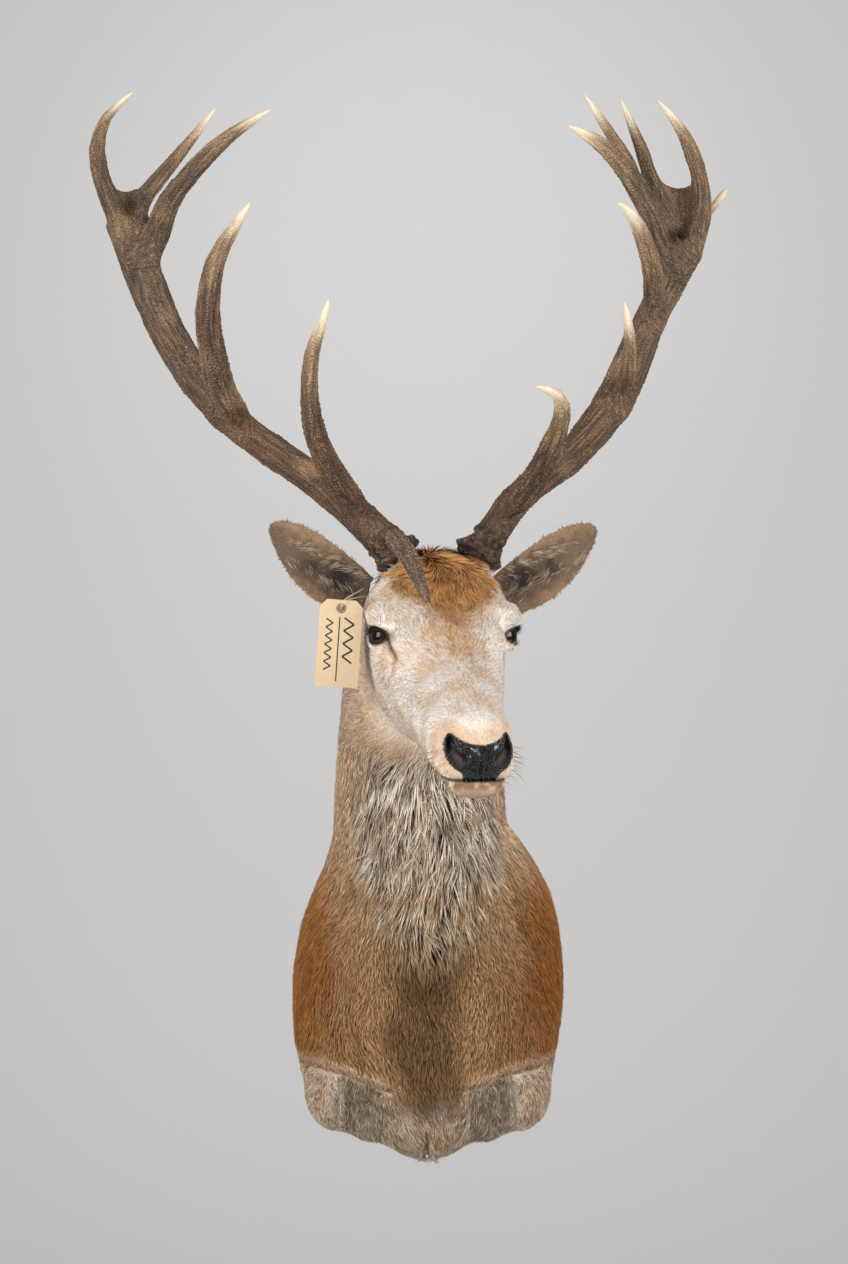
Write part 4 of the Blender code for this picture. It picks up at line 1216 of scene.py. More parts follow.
def clumped(places, tips, share):
    """Draws the tips of long hairs together in locks."""
    rng = np.random.default_rng(SEED + 2)
    chosen = rng.choice(len(places), max(1, len(places) // LOCK), replace=False)
    nearest = chosen[found(tree_of(places[chosen]), places, 1)]
    goal = tips[nearest] + (places - places[nearest]) * 0.15
    ways = tips + (goal - tips) * share[:, None] - places
    return ways / lengths_of(ways)[:, None], nearest


# ---- materials
def new_material(name):
    """A material, the nodes of its tree and its shader."""
    mat = bpy.data.materials.new(name)
    mat.use_nodes = True
    return mat, Nodes(mat.node_tree), mat.node_tree.nodes["Principled BSDF"]


class Nodes:
    """Short ways to add and link nodes, in the order of the things that they make."""

    def __init__(self, tree):
        self.tree = tree

    def add(self, kind, inputs=None, **settings):
        """A new node, with values or links for its inputs."""
        node = self.tree.nodes.new(kind)
        for key, value in settings.items():
            setattr(node, key, value)
        return self.feed(node, inputs or {})

    def feed(self, node, inputs):
        for key, value in inputs.items():
            if isinstance(value, bpy.types.NodeSocket):
                self.tree.links.new(value, node.inputs[key])
            else:
                node.inputs[key].default_value = value
        return node

    def attribute(self, name, output="Fac"):
        return self.add("ShaderNodeAttribute", attribute_name=name).outputs[output]

    def math(self, operation, first, second=0.0):
        return self.add("ShaderNodeMath", {0: first, 1: second}, operation=operation).outputs[0]

    def plus(self, first, second):
        return self.math("ADD", first, second)

    def times(self, first, second):
        return self.math("MULTIPLY", first, second)

    def rest(self, share):
        return self.math("SUBTRACT", 1.0, share)

    def span(self, value, low, high, to_low=0.0, to_high=1.0):
        return self.add("ShaderNodeMapRange", {"Value": value, "From Min": low, "From Max": high,
                                               "To Min": to_low, "To Max": to_high},
                        interpolation_type="SMOOTHSTEP").outputs["Result"]

    def mix(self, share, first, second, blend="MIX"):
        node = self.add("ShaderNodeMix", data_type="RGBA", blend_type=blend)
        places = [index for index, item in enumerate(node.inputs) if item.type == "RGBA"]
        self.feed(node, {"Factor": share, places[0]: first, places[1]: second})
        return next(item for item in node.outputs if item.type == "RGBA")

    def shaded(self, colour, value):
        """A colour times a grey value."""
        grey = self.add("ShaderNodeCombineColor", dict.fromkeys(("Red", "Green", "Blue"), value))
        return self.mix(1.0, colour, grey.outputs["Color"], "MULTIPLY")

    def noise(self, vector, scale, detail=3.0, roughness=0.55):
        return self.add("ShaderNodeTexNoise", {"Vector": vector, "Scale": scale, "Detail": detail,
                                               "Roughness": roughness}).outputs["Fac"]

    def cells(self, vector, scale):
        return self.add("ShaderNodeTexVoronoi", {"Vector": vector, "Scale": scale}).outputs["Distance"]

    def place(self):
        return self.add("ShaderNodeTexCoord").outputs["Object"]

    def bump(self, height, strength, distance, **normal):
        return self.add("ShaderNodeBump", {"Strength": strength, "Distance": distance, "Height": height,
                                           **normal}).outputs["Normal"]


def rgba(colour):
    return (*[float(part) for part in colour], 1.0)


def srgb_rgba(red, green, blue):
    return rgba(srgb(red, green, blue))


def hide_material():
    """Skin under the coat: streaked short fur, dark bare lids and lips, black pebbled nose with painted shade
    in the grooves between its pebbles.
    """
    mat, n, shader = new_material("hide_and_short_fur")
    tone, grain, pad = n.attribute("tone", "Color"), n.attribute("grain", "Vector"), n.attribute("pad")
    streaks = n.noise(grain, 420.0, 4.0)
    broad = n.span(n.noise(grain, 90.0, 2.0), 0.3, 0.7, -0.06, 0.05)
    fur = n.shaded(tone, n.plus(n.span(streaks, 0.25, 0.75, 0.76, 1.12), broad))
    pebbles = n.cells(n.place(), 330.0)
    # painted shade: the grooves between the pebbles near black, their tops in the skin's own tone
    skin = n.mix(n.span(pebbles, 0.20, 0.46), tone, srgb_rgba(4, 3, 3))
    normal = n.bump(n.times(streaks, n.rest(pad)), 0.5, 0.0012)
    n.feed(shader, {"Base Color": n.mix(pad, fur, skin), "Specular IOR Level": 0.5,
                    "Roughness": n.span(pad, 0.2, 0.8, 0.85, 0.24),
                    "Normal": n.bump(n.times(n.rest(n.span(pebbles, 0.0, 0.6)), pad), 1.0, 0.0052,
                                     Normal=normal)})
    return mat


def coat_material(name, pale, root_shade, roughness):
    """Hair: darker at the root, the coat's colour along it, paler at the tip."""
    mat, n, shader = new_material(name)
    tint, along, pale_share = n.attribute("tint", "Color"), n.attribute("along"), n.attribute("pale")
    dark = n.mix(1.0, tint, (root_shade,) * 3 + (1.0,), "MULTIPLY")
    shaft = n.mix(n.span(along, 0.0, 0.55), dark, tint)
    hair = n.mix(n.times(n.span(along, 0.45, 1.0), pale_share), shaft, rgba(pale))
    fine = n.span(n.noise(n.place(), 700.0, 2.0), 0.3, 0.7, 0.86, 1.12)
    n.feed(shader, {"Base Color": n.shaded(hair, fine), "Roughness": roughness, "Specular IOR Level": 0.14})
    return mat


def plain_material(name, colour, roughness, variation=0.08, scale=60.0, depth=0.0):
    """A material of one colour with a little mottling and, if depth is given, a fine bump."""
    mat, n, shader = new_material(name)
    grain = n.noise(n.place(), scale, 4.0)
    darker = rgba(np.array(colour) * (1 - variation))
    n.feed(shader, {"Base Color": n.mix(n.span(grain, 0.3, 0.7), darker, rgba(colour)),
                    "Roughness": n.span(grain, 0.2, 0.8, roughness - 0.05, roughness + 0.05)})
    if depth:
        n.feed(shader, {"Normal": n.bump(grain, 0.6, depth)})
    return mat


def antler_material():
    """Bone: streaked along the branch, dark in the furrows, pearled, smooth ivory at the tips."""
    mat, n, shader = new_material("antler_bone")
    bone, grain = n.attribute("bone", "Color"), n.attribute("grain", "Vector")
    polish = n.attribute("polish")
    streaks = n.noise(grain, 260.0, 5.0, 0.6)
    specks = n.noise(n.place(), 900.0, 3.0)
    beads = n.span(n.cells(n.attribute("bead", "Vector"), 330.0), 0.15, 0.75, 1.0, 0.0)
    value = n.times(n.span(streaks, 0.37, 0.63, 0.60, 1.26), n.span(beads, 0.0, 1.0, 0.66, 1.24))
    value = n.times(value, n.span(specks, 0.3, 0.7, 0.84, 1.14))
    worn = n.times(polish, 0.85)
    height = n.times(n.plus(n.times(streaks, 0.9), n.times(beads, 0.6)), n.rest(n.times(polish, 0.92)))
    normal = n.bump(height, 1.0, 0.0030)
    n.feed(shader, {"Base Color": n.shaded(bone, n.plus(n.times(value, n.rest(worn)), worn)),
                    "Roughness": n.span(polish, 0.0, 1.0, 0.62, 0.34),
                    "Normal": n.bump(n.times(specks, n.rest(polish)), 0.3, 0.0004, Normal=normal)})
    return mat


def eye_material():
    """Glass eye: wide black pupil, dark brown iris, near black rim, high gloss."""
    mat, n, shader = new_material("eye_glass")
    place = n.attribute("iris", "Vector")
    parts = n.add("ShaderNodeSeparateXYZ", {0: place}).outputs
    across, rise = parts["X"], parts["Y"]
    squared = n.plus(*[n.math("POWER", n.math("ABSOLUTE", n.math("DIVIDE", reach, half)), 2.4)
                       for reach, half in ((across, 0.44), (rise, 0.29))])
    radius = n.math("SQRT", n.plus(n.times(across, across), n.times(rise, rise)))
    fibres = n.span(n.noise(place, 16.0, 4.0), 0.3, 0.7)
    iris = n.mix(fibres, srgb_rgba(24, 13, 8), srgb_rgba(66, 38, 20))
    base = n.mix(n.span(radius, 0.52, 0.66), iris, srgb_rgba(22, 15, 13))
    n.feed(shader, {"Base Color": n.mix(n.span(squared, 1.0, 1.35, 1.0, 0.0), base, srgb_rgba(6, 5, 6)),
                    "Roughness": 0.12, "Specular IOR Level": 0.0,
                    "Coat Weight": 0.55, "Coat Roughness": 0.02})
    return mat


def board_material():
    """Plain oiled softwood with its grain along the board's height."""
    mat, n, shader = new_material("board_wood")
    stretch = n.add("ShaderNodeMapping", {"Scale": (1.0, 1.0, 0.06), "Vector": n.place()})
    lines = n.noise(stretch.outputs["Vector"], 140.0, 5.0)
    wood = n.mix(n.span(lines, 0.3, 0.7), srgb_rgba(150, 112, 74), srgb_rgba(192, 152, 106))
    n.feed(shader, {"Base Color": wood, "Roughness": n.span(lines, 0.2, 0.8, 0.55, 0.68),
                    "Normal": n.bump(lines, 0.3, 0.0006)})
    return mat


# ---- the coat
# slot, colour of the hair's tips, darkness of its roots and roughness
COAT_AREAS = {"face": ("face_coat", srgb(246, 238, 228), 0.79, 0.80),
              "crown": ("face_coat", srgb(232, 184, 126), 0.34, 0.75),
              "neck": ("neck_coat", WARM_CREAM, 0.40, 0.78),
              "body": ("shoulder_coat", srgb(222, 182, 130), 0.36, 0.78),
              "brisket": ("brisket_coat", PALE_TIP, 0.50, 0.80),
              "ear": ("ear_coat", srgb(206, 184, 156), 0.45, 0.85)}
LOCK = 7                     # tufts that are drawn together in one lock
LOCK_HAIR = 0.012            # hair longer than this stands in locks
WHISKERS = 80
# number of lashes, side of the eye, their length and the height of the opening there
LASHES = ((70, 1, 0.0105, EYE_UPPER), (26, -1, 0.0055, EYE_LOWER))
EAR_LOCKS = 70               # locks of long hair in each ear
PIECE_LIMIT = 190000         # triangles in one piece of coat
ROOT_SINK = 0.0008           # how far each root stands in the skin
TAG_CLEAR = 0.004            # between the tag and the tips of the hair


def clear_of_tag(tips):
    """Which hairs don't hang through or in front of the tag."""
    local = (tips - np.array(TAG_CENTRE)) @ np.array(tag_matrix().to_3x3())
    width, _, height = TAG_SIZE
    beside = np.abs(local[:, 0]) > width / 2 + TAG_CLEAR
    beside |= np.abs(local[:, 2]) > height / 2 + TAG_CLEAR
    return beside | (local[:, 1] > TAG_CLEAR)


def ticked(places, colour, lock_draw, rng):
    """Mixes single darker and paler hairs and locks into the coat."""
    _, aside, up = head_coordinates(places)
    on_head = head_share(places, 0.02)
    below = below_fold(places, 0.006)
    crown = crown_share(places, 0.016)
    forehead = on_head * smooth(-0.035, 0.0, up) * smooth(0.075, 0.045, np.abs(aside))
    draw = rng.uniform(0, 1, len(places))
    few = (0.05 + 0.20 * forehead) * on_head + 0.08 * (1 - on_head)
    on_body = smooth(0.20, 0.06, places[:, 2]) * (1 - throat_share(places)) * (1 - below)
    # locks of the throat and the brisket differ: some nearly white, some dark
    strong = np.maximum(throat_share(places) * (1 - on_head), 0.50 * below)
    bright = 0.86 * strong * np.maximum(smooth(0.030, 0.110, places[:, 2]), below)
    return layered(
        colour, (NAPE_BROWN, (0.28 + 0.20 * forehead) * (1 - crown) * (draw < few)),
        (DEEP_RUFOUS * 0.7, 0.60 * ((draw > 0.86) & (on_head < 0.5))),
        (mixed(PALE_TIP, GOLDEN_TIP, on_body), 0.36 * (1 - crown) * ((draw > 0.78) & (draw < 0.88))),
        (GOLDEN_TIP, 0.60 * crown * (lock_draw > 0.62)),
        (DEEP_RUFOUS, 0.55 * crown * (lock_draw < 0.28)),
        (PALE_TIP, bright * (lock_draw > 0.58)),
        (ROOT_DARK, 0.62 * strong * (lock_draw < 0.30)))


def coat_regions(places, ears):
    """Name of the area that each tuft belongs to."""
    on_head = head_share(places, 0.004) > 0.5
    crown = on_head & (crown_share(places) > 0.40)
    fold = below_fold(places, 0.002) > 0.5
    low = places[:, 2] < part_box("neck")[0].z
    return np.select([ears.sum(axis=0) > 0.5, crown, on_head, fold, low],
                     ["ear", "crown", "face", "brisket", "body"], "neck")


def grow_coat(skin, ear_trees):
    """Every piece of short and long coat over the skin."""
    def ears_of(points):
        shares = np.zeros((2, len(points)))
        close = near_ears(points)
        if close.any():
            shares[:, close] = ear_shares(points[close], ear_trees)
        return shares

    places, outs = root_samples(skin.data, 1.0, ears_of)
    ears = ears_of(places)
    length, width, _, pale = coat_style(places, ears)
    rng = np.random.default_rng(SEED + 1)
    length = length * rng.uniform(0.75, 1.2, len(places))
    width = width * rng.uniform(0.8, 1.25, len(places)) * 1.0
    lie = coat_lie(places, outs, ears)
    loose = (1 - head_share(places, 0.02)) * smooth(-0.02, 0.12, places[:, 2])
    lie = turned(lie, outs, rng.normal(0, 1, len(places)) * (0.16 + 0.14 * throat_share(places) * loose))
    calm = head_share(places, 0.02) * (1 - crown_share(places)) * (1 - ears.sum(axis=0))
    depth = coat_depth(places) * 0.85 + 0.0006
    tilt = np.clip(depth / length, 0.10, 0.36 - 0.12 * calm - 0.16 * ears.sum(axis=0))
    ways = unit(lie * np.sqrt(1 - tilt ** 2)[:, None] + outs * tilt[:, None])
    tips = places + ways * length[:, None]
    share = 0.25 + smooth(0.018, 0.040, length) * 0.42
    ways, lock = clumped(places, tips, share * (length > LOCK_HAIR))
    colour = coat_colour(places, outs, ears)
    vary = rng.uniform(-1, 1, (len(places), 1)) * (0.25 + 0.13 * loose - 0.11 * calm)[:, None]
    colour = colour * (1 + vary)
    colour = colour * (1 + 0.14 * wave_noise(places[lock] * 7.0, 0.05, 41) * (length > LOCK_HAIR))[:, None]
    lock_draw = rng.uniform(0, 1, len(places))[lock]
    lock_draw = np.where(rng.uniform(0, 1, len(places)) < 0.35, rng.uniform(0, 1, len(places)), lock_draw)
    colour = ticked(places, colour, lock_draw, rng)
    tips = places + ways * length[:, None]
    region = coat_regions(places, ears)
    kinds = np.select([length < SHORT_HAIR, length < MIDDLE_HAIR], ["short", "middle"], "long")
    keep = clear_of_tag(tips)
    tree = tuft_tree()
    mats = {area: coat_material(area + "_hair", *looks) for area, (_, *looks) in COAT_AREAS.items()}
    shapes = {kind: tuft_shapes(kind) for kind in TUFT_KINDS}
    spots = unwrap(places, outs, ears)
    for area, (slot_name, *_) in COAT_AREAS.items():
        for kind, (_, _, triangles) in TUFT_KINDS.items():
            chosen = np.nonzero((region == area) & (kinds == kind) & keep)[0]
            if len(chosen) < 20:
                continue
            parts = math.ceil(len(chosen) * triangles / PIECE_LIMIT)
            chosen = chosen[np.argsort(places[chosen, 0], kind="stable")]
            for number, rows in enumerate(np.array_split(chosen, parts)):
                out = outs[rows]
                roots = root_rows(places[rows] - out * ROOT_SINK, ways[rows], out, width[rows],
                                  length[rows], spots[rows], pale[rows], np.clip(colour[rows], 0.001, 1.0), rng)
                name = "%s_%s_coat_%d" % (area, kind, number + 1)
                grow(name, roots, shapes[kind], tree, mats[area])
    return tree, shapes, mats


def single_hairs(name, hairs, width, colour, tree, shapes, mat, ear=0):
    """Single hairs, each (start, way, length, out); ear is the side of the ear that they grow in."""
    starts, ways, lengths, outs = (np.array(rows) for rows in zip(*hairs))
    count = len(starts)
    outs = unit(outs)
    ears = np.array([np.full(count, float(ear == side)) for side in (-1, 1)])
    roots = root_rows(starts, unit(ways), outs, np.full(count, width), lengths, unwrap(starts, outs, ears),
                      np.full(count, 0.4), np.tile(colour, (count, 1)), np.random.default_rng(count))
    grow(name, roots, shapes["long"], tree, mat)


def lashes(side, tree, shapes, mat):
    """Dark lashes along the upper lid and a few below."""
    gaze, long_axis, upward = (np.array(axis) for axis in eye_axes(side))
    hairs = []
    rng = np.random.default_rng(51 + side)
    for count, sign, reach, high in LASHES:
        for step in range(count):
            share = (step + rng.uniform(0.2, 0.8)) / count * 2 - 1
            along = share * EYE_HALF_LENGTH * 0.93
            rise = sign * high * (1 - abs(share) ** 1.8) ** 0.6 * 1.04
            turn = math.hypot(along, rise) / EYE_RADIUS
            flat = (long_axis * along + upward * rise) / math.hypot(along, rise)
            out = gaze * math.cos(turn) + flat * math.sin(turn)
            way = out * 0.75 + upward * sign * 0.35 - long_axis * (0.35 - 0.25 * share) + gaze * 0.2
            length = reach * rng.uniform(0.7, 1.1) * (1 - 0.45 * max(share, 0))
            hairs.append((np.array(EYE[side]) + out * (EYE_RADIUS + LID_HEIGHT * 0.7), way, length, out))
    single_hairs("lashes_" + SIDE_NAMES[side], hairs, 0.00050, LID_DARK * 0.6, tree, shapes, mat)


def whiskers(skin_tree, tree, shapes, mat):
    """Thin whiskers on the lips, the chin and over the nostrils."""
    rng = np.random.default_rng(61)
    hairs = []
    for _ in range(WHISKERS):
        side = rng.choice((-1, 1))
        forward = NOSE_TIP - rng.uniform(0.010, 0.060)
        start = np.array(MID) + head_direction(forward, side * 0.075, MOUTH + rng.uniform(-0.018, 0.040))
        hit, normal, _, _ = skin_tree.ray_cast(Vector(start), Vector(-LEFT * side))
        if hit is None:
            continue
        normal = np.array(normal)
        way = normal + head_direction(0.25, 0, -0.35) + rng.normal(0, 0.15, 3)
        hairs.append((np.array(hit) - normal * 0.001, way, rng.uniform(0.012, 0.028), normal))
    single_hairs("muzzle_whiskers", hairs, 0.00032, srgb(120, 104, 88), tree, shapes, mat)


def ear_hairs(side, ear_tree, tree, shapes, mat):
    """Long pale hairs in the ear, in locks that curve from both rims over the hollow towards the tip."""
    rng = np.random.default_rng(71 + side)
    root, tip, facing = ear_frame(side)
    span = tip - root
    along_way = span / np.linalg.norm(span)
    upward = np.cross(facing, along_way) * side
    shift = -ear_places(np.array([root]), side)[1][0]
    hairs = []
    for _ in range(EAR_LOCKS):
        along, rim = rng.uniform(0.04, 0.80), rng.choice((-1.0, 1.0), p=(0.42, 0.58))
        across = rim * rng.uniform(0.014, 0.030) * (1.0 - 0.4 * along)
        lean = rng.uniform(0.10, 0.95)
        reach = rng.uniform(0.012, 0.022) * (1 - 0.50 * along)
        for _ in range(rng.integers(4, 9)):
            near = across + rng.normal(0, 0.0016)
            start = root + span * (along + rng.normal(0, 0.012)) + upward * (near + shift) + facing * 0.06
            hit, normal, _, _ = ear_tree.ray_cast(Vector(start), Vector(-facing))
            if hit is None:
                continue
            normal = np.array(normal)
            way = along_way * 0.8 - upward * rim * lean + facing * 0.30 + rng.normal(0, 0.08, 3)
            hairs.append((np.array(hit) - normal * ROOT_SINK, way, reach * rng.uniform(0.8, 1.15), normal))
    single_hairs("ear_hair_" + SIDE_NAMES[side], hairs, 0.00045, EAR_HAIR, tree, shapes, mat,
                 side)


# ---- eyes
def eyeball(side, mat):
    """A glass eye with a slightly bulging front, and its place in the eye's own axes on each point."""
    gaze, long_axis, upward = eye_axes(side)
    form = bmesh.new()
    bmesh.ops.create_uvsphere(form, u_segments=48, v_segments=32, radius=EYE_RADIUS)
    turn = Vector((0, 0, 1)).rotation_difference(gaze).to_matrix()
    places = []
    for vert in form.verts:
        direction = turn @ vert.co.normalized()
        angle = direction.angle(gaze)
        bulge = 0.0007 * max(0.0, 1 - (angle / 0.60) ** 2)
        vert.co = EYE[side] + direction * (EYE_RADIUS - 0.0002 + bulge)
        places.append((direction.dot(long_axis), direction.dot(upward), direction.dot(gaze)))
    name = "eye_" + SIDE_NAMES[side]
    ball = object_from(form, name + "_glass")
    vertex_layer(ball.data, "iris", places, "FLOAT_VECTOR")
    ball.data.materials.append(mat)
    ball.data.shade_smooth()
    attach(ball, "root")
    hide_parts(name)


# ---- antlers
ANTLER_VOXEL = 0.0017
BONE_SHARE = 0.55
LINE_STEP = 0.004            # between the places of a middle line
LINE_BIN = 0.016             # length of branch from which one place is taken
JOINT_GAP = 0.0032           # pieces nearer than this meet
JOINT_ROUNDS = 130           # of smoothing near the places where they meet
CLOUD_SIZE = 2500            # places taken on each piece of antler
FILL_REACH = 0.045           # how far down the lower beam the foot of the upper one is drawn out
FOOT_TAPER = 0.040           # length over which the foot of a branch narrows into the beam
JOIN_GROWTH = 0.0008         # the pieces are grown by this much so that they meet
BEAD_SIZE = 0.0036
BONE = srgb(130, 95, 65)
BONE_DARK = srgb(48, 33, 23)
BONE_LIGHT = srgb(178, 144, 106)
BONE_GREY = srgb(132, 106, 82)
BROW_PINK = srgb(146, 118, 100)
TIP_TAN = srgb(184, 150, 112)
IVORY = srgb(222, 205, 178)
# place on a middle line, the way along it, two ways across it, distance from its start and to the tip
Station = namedtuple("Station", "place way first second run to_tip in_beam node")
PIT = {"left": ((0.327, 0.9615), (0.0085, 0.0100)), "right": ((-0.385, 1.006), (0.0110, 0.0130))}  # (x, z)


def surface_points(mesh):
    """Even random places on a piece of antler."""
    corners = triangle_corners(mesh)
    a, b, c = (points_of(mesh)[corners[:, i]] for i in range(3))
    areas = np.cumsum(lengths_of(np.cross(b - a, c - a)))
    rng = np.random.default_rng(5)
    picks = np.searchsorted(areas, rng.uniform(0, areas[-1], CLOUD_SIZE))
    first, second = triangle_draws(rng, CLOUD_SIZE)
    return a[picks] + (b - a)[picks] * first[:, None] + (c - a)[picks] * second[:, None]


def long_reach(points):
    """How far along its own long way each point of a branch lies, and the two points at its ends."""
    away = points - points.mean(axis=0)
    reach = away @ np.linalg.svd(away, full_matrices=False)[2][0]
    return reach, (points[np.argmin(reach)], points[np.argmax(reach)])


def middle_line(points, from_high):
    """Points along the middle of a branch, at even steps, from its low or its high end, and its length."""
    reach, ends = long_reach(points)
    if from_high:
        reach, ends = -reach, ends[::-1]
    low, high = reach.min(), reach.max()
    bins = max(4, int((high - low) / LINE_BIN))
    edges = [low + (high - low) * index / bins for index in range(bins + 1)]
    rows = [ends[0]]
    for near, after in zip(edges, edges[1:]):
        inside = (reach >= near) & (reach <= after)
        if inside.sum() > 4:
            rows.append(points[inside].mean(axis=0))
    rows = np.array(rows + [ends[1]])
    rows[1:-1] = (rows[:-2] + 2 * rows[1:-1] + rows[2:]) / 4
    run = np.concatenate(([0], np.cumsum(lengths_of(np.diff(rows, axis=0)))))
    steps = np.arange(0, run[-1], LINE_STEP)
    return np.stack([np.interp(steps, run, rows[:, i]) for i in range(3)], axis=1), run[-1]


def touching_places(clouds):
    """A tree of the places where the pieces of an antler meet."""
    whole = tree_of(np.concatenate(list(clouds.values())))
    owners = [name for name, points in clouds.items() for _ in points]
    met = [point for name, points in clouds.items() if not name.endswith("burr") for point in points
           if any(owners[index] != name for _, index, _ in whole.find_range(Vector(point), JOINT_GAP))]
    return tree_of(met)


def thickness(points, place, way):
    """Radius of a branch near a place on its middle line."""
    near = points[lengths_of(points - place) < 0.032] - place
    return float(np.median(lengths_of(near - (near @ way)[:, None] * way)))


def beam_fill(rows, clouds, side):
    """A tapered piece that carries the foot of the upper beam down into the lower one."""
    names = ["antler_%s_%s_beam" % (side, part) for part in ("upper", "lower")]
    upper, lower = ([row for row in rows if row.node == name] for name in names)
    top, top_way = upper[4].place, upper[4].way
    goal = min(lower, key=lambda row: abs(np.linalg.norm(row.place - upper[0].place) - FILL_REACH))
    wide = 0.94 * thickness(clouds[names[0]], top, top_way)
    narrow = min(0.80 * thickness(clouds[names[1]], goal.place, goal.way), wide)
    axis = Vector(goal.place - top)
    place = Matrix.Translation(Vector(top + goal.place) / 2)
    place = place @ axis.to_track_quat("Z", "Y").to_matrix().to_4x4()
    form = bmesh.new()
    bmesh.ops.create_cone(form, cap_ends=True, segments=20, radius1=wide, radius2=narrow,
                          depth=axis.length, matrix=place)
    return object_from(form, "fill")


def tapered_piece(name, rows):
    """A copy of one branch, its foot drawn in to the middle of the beam so that it grows out of it."""
    piece = merged_copy((name,), name + "_bone")
    points, normals = places_and_normals(piece)
    points = points + normals * JOIN_GROWTH
    own = [row for row in rows if row.node == name]
    if own and not own[0].in_beam:
        beams = [row for row in rows if row.in_beam]
        middles = np.array([row.place for row in beams])
        ends = [index for index, row in enumerate(beams) if row.node.endswith("upper_beam")][-4:]
        nearest = np.argmin(np.linalg.norm(points[:, None, :] - middles[None], axis=2), axis=1)
        along = (points - own[0].place) @ own[min(3, len(own) - 1)].way
        below_end = smooth(0.030, 0.055, lengths_of(own[0].place - middles)[ends].min())
        share = 0.80 * below_end * smooth(min(FOOT_TAPER, 0.4 * len(own) * LINE_STEP), 0.0, along)
        points = points + (middles[nearest] - points) * share[:, None]
    set_points(piece.data, points)
    return piece


def branch_places(side):
    """Places on the middle lines of one antler's branches with a tree of them, the joints and the fill."""
    burr = np.array(node_centre("antler_%s_burr" % side))
    clouds = {name: surface_points(frame["nodes"][name].data) for name in ANTLER_NODES[side]}
    rows = []
    for name, points in clouds.items():
        if name.endswith(("burr", "web")):
            continue
        ends = long_reach(points)[1]
        is_beam = name.endswith("beam")
        others = np.concatenate([cloud[::12] for other, cloud in clouds.items() if other != name])
        if is_beam:
            others = burr[None]
        line, length = middle_line(points, np.argmin([lengths_of(others - end).min() for end in ends]) == 1)
        blunt = is_beam or "brow" in name
        ways = unit(np.gradient(line, axis=0))
        first = np.cross(ways[0], (0.3, 1.0, 0.2))
        for index, (place, way) in enumerate(zip(line, ways)):
            first = first - way * (first @ way)
            first = first / np.linalg.norm(first)
            run = index * LINE_STEP
            rows.append(Station(place, way, first.copy(), np.cross(way, first), run,
                                FAR if blunt else length - run, is_beam, name))
    tree = tree_of([row.place for row in rows])
    return tree, rows, touching_places(clouds), beam_fill(rows, clouds, side)


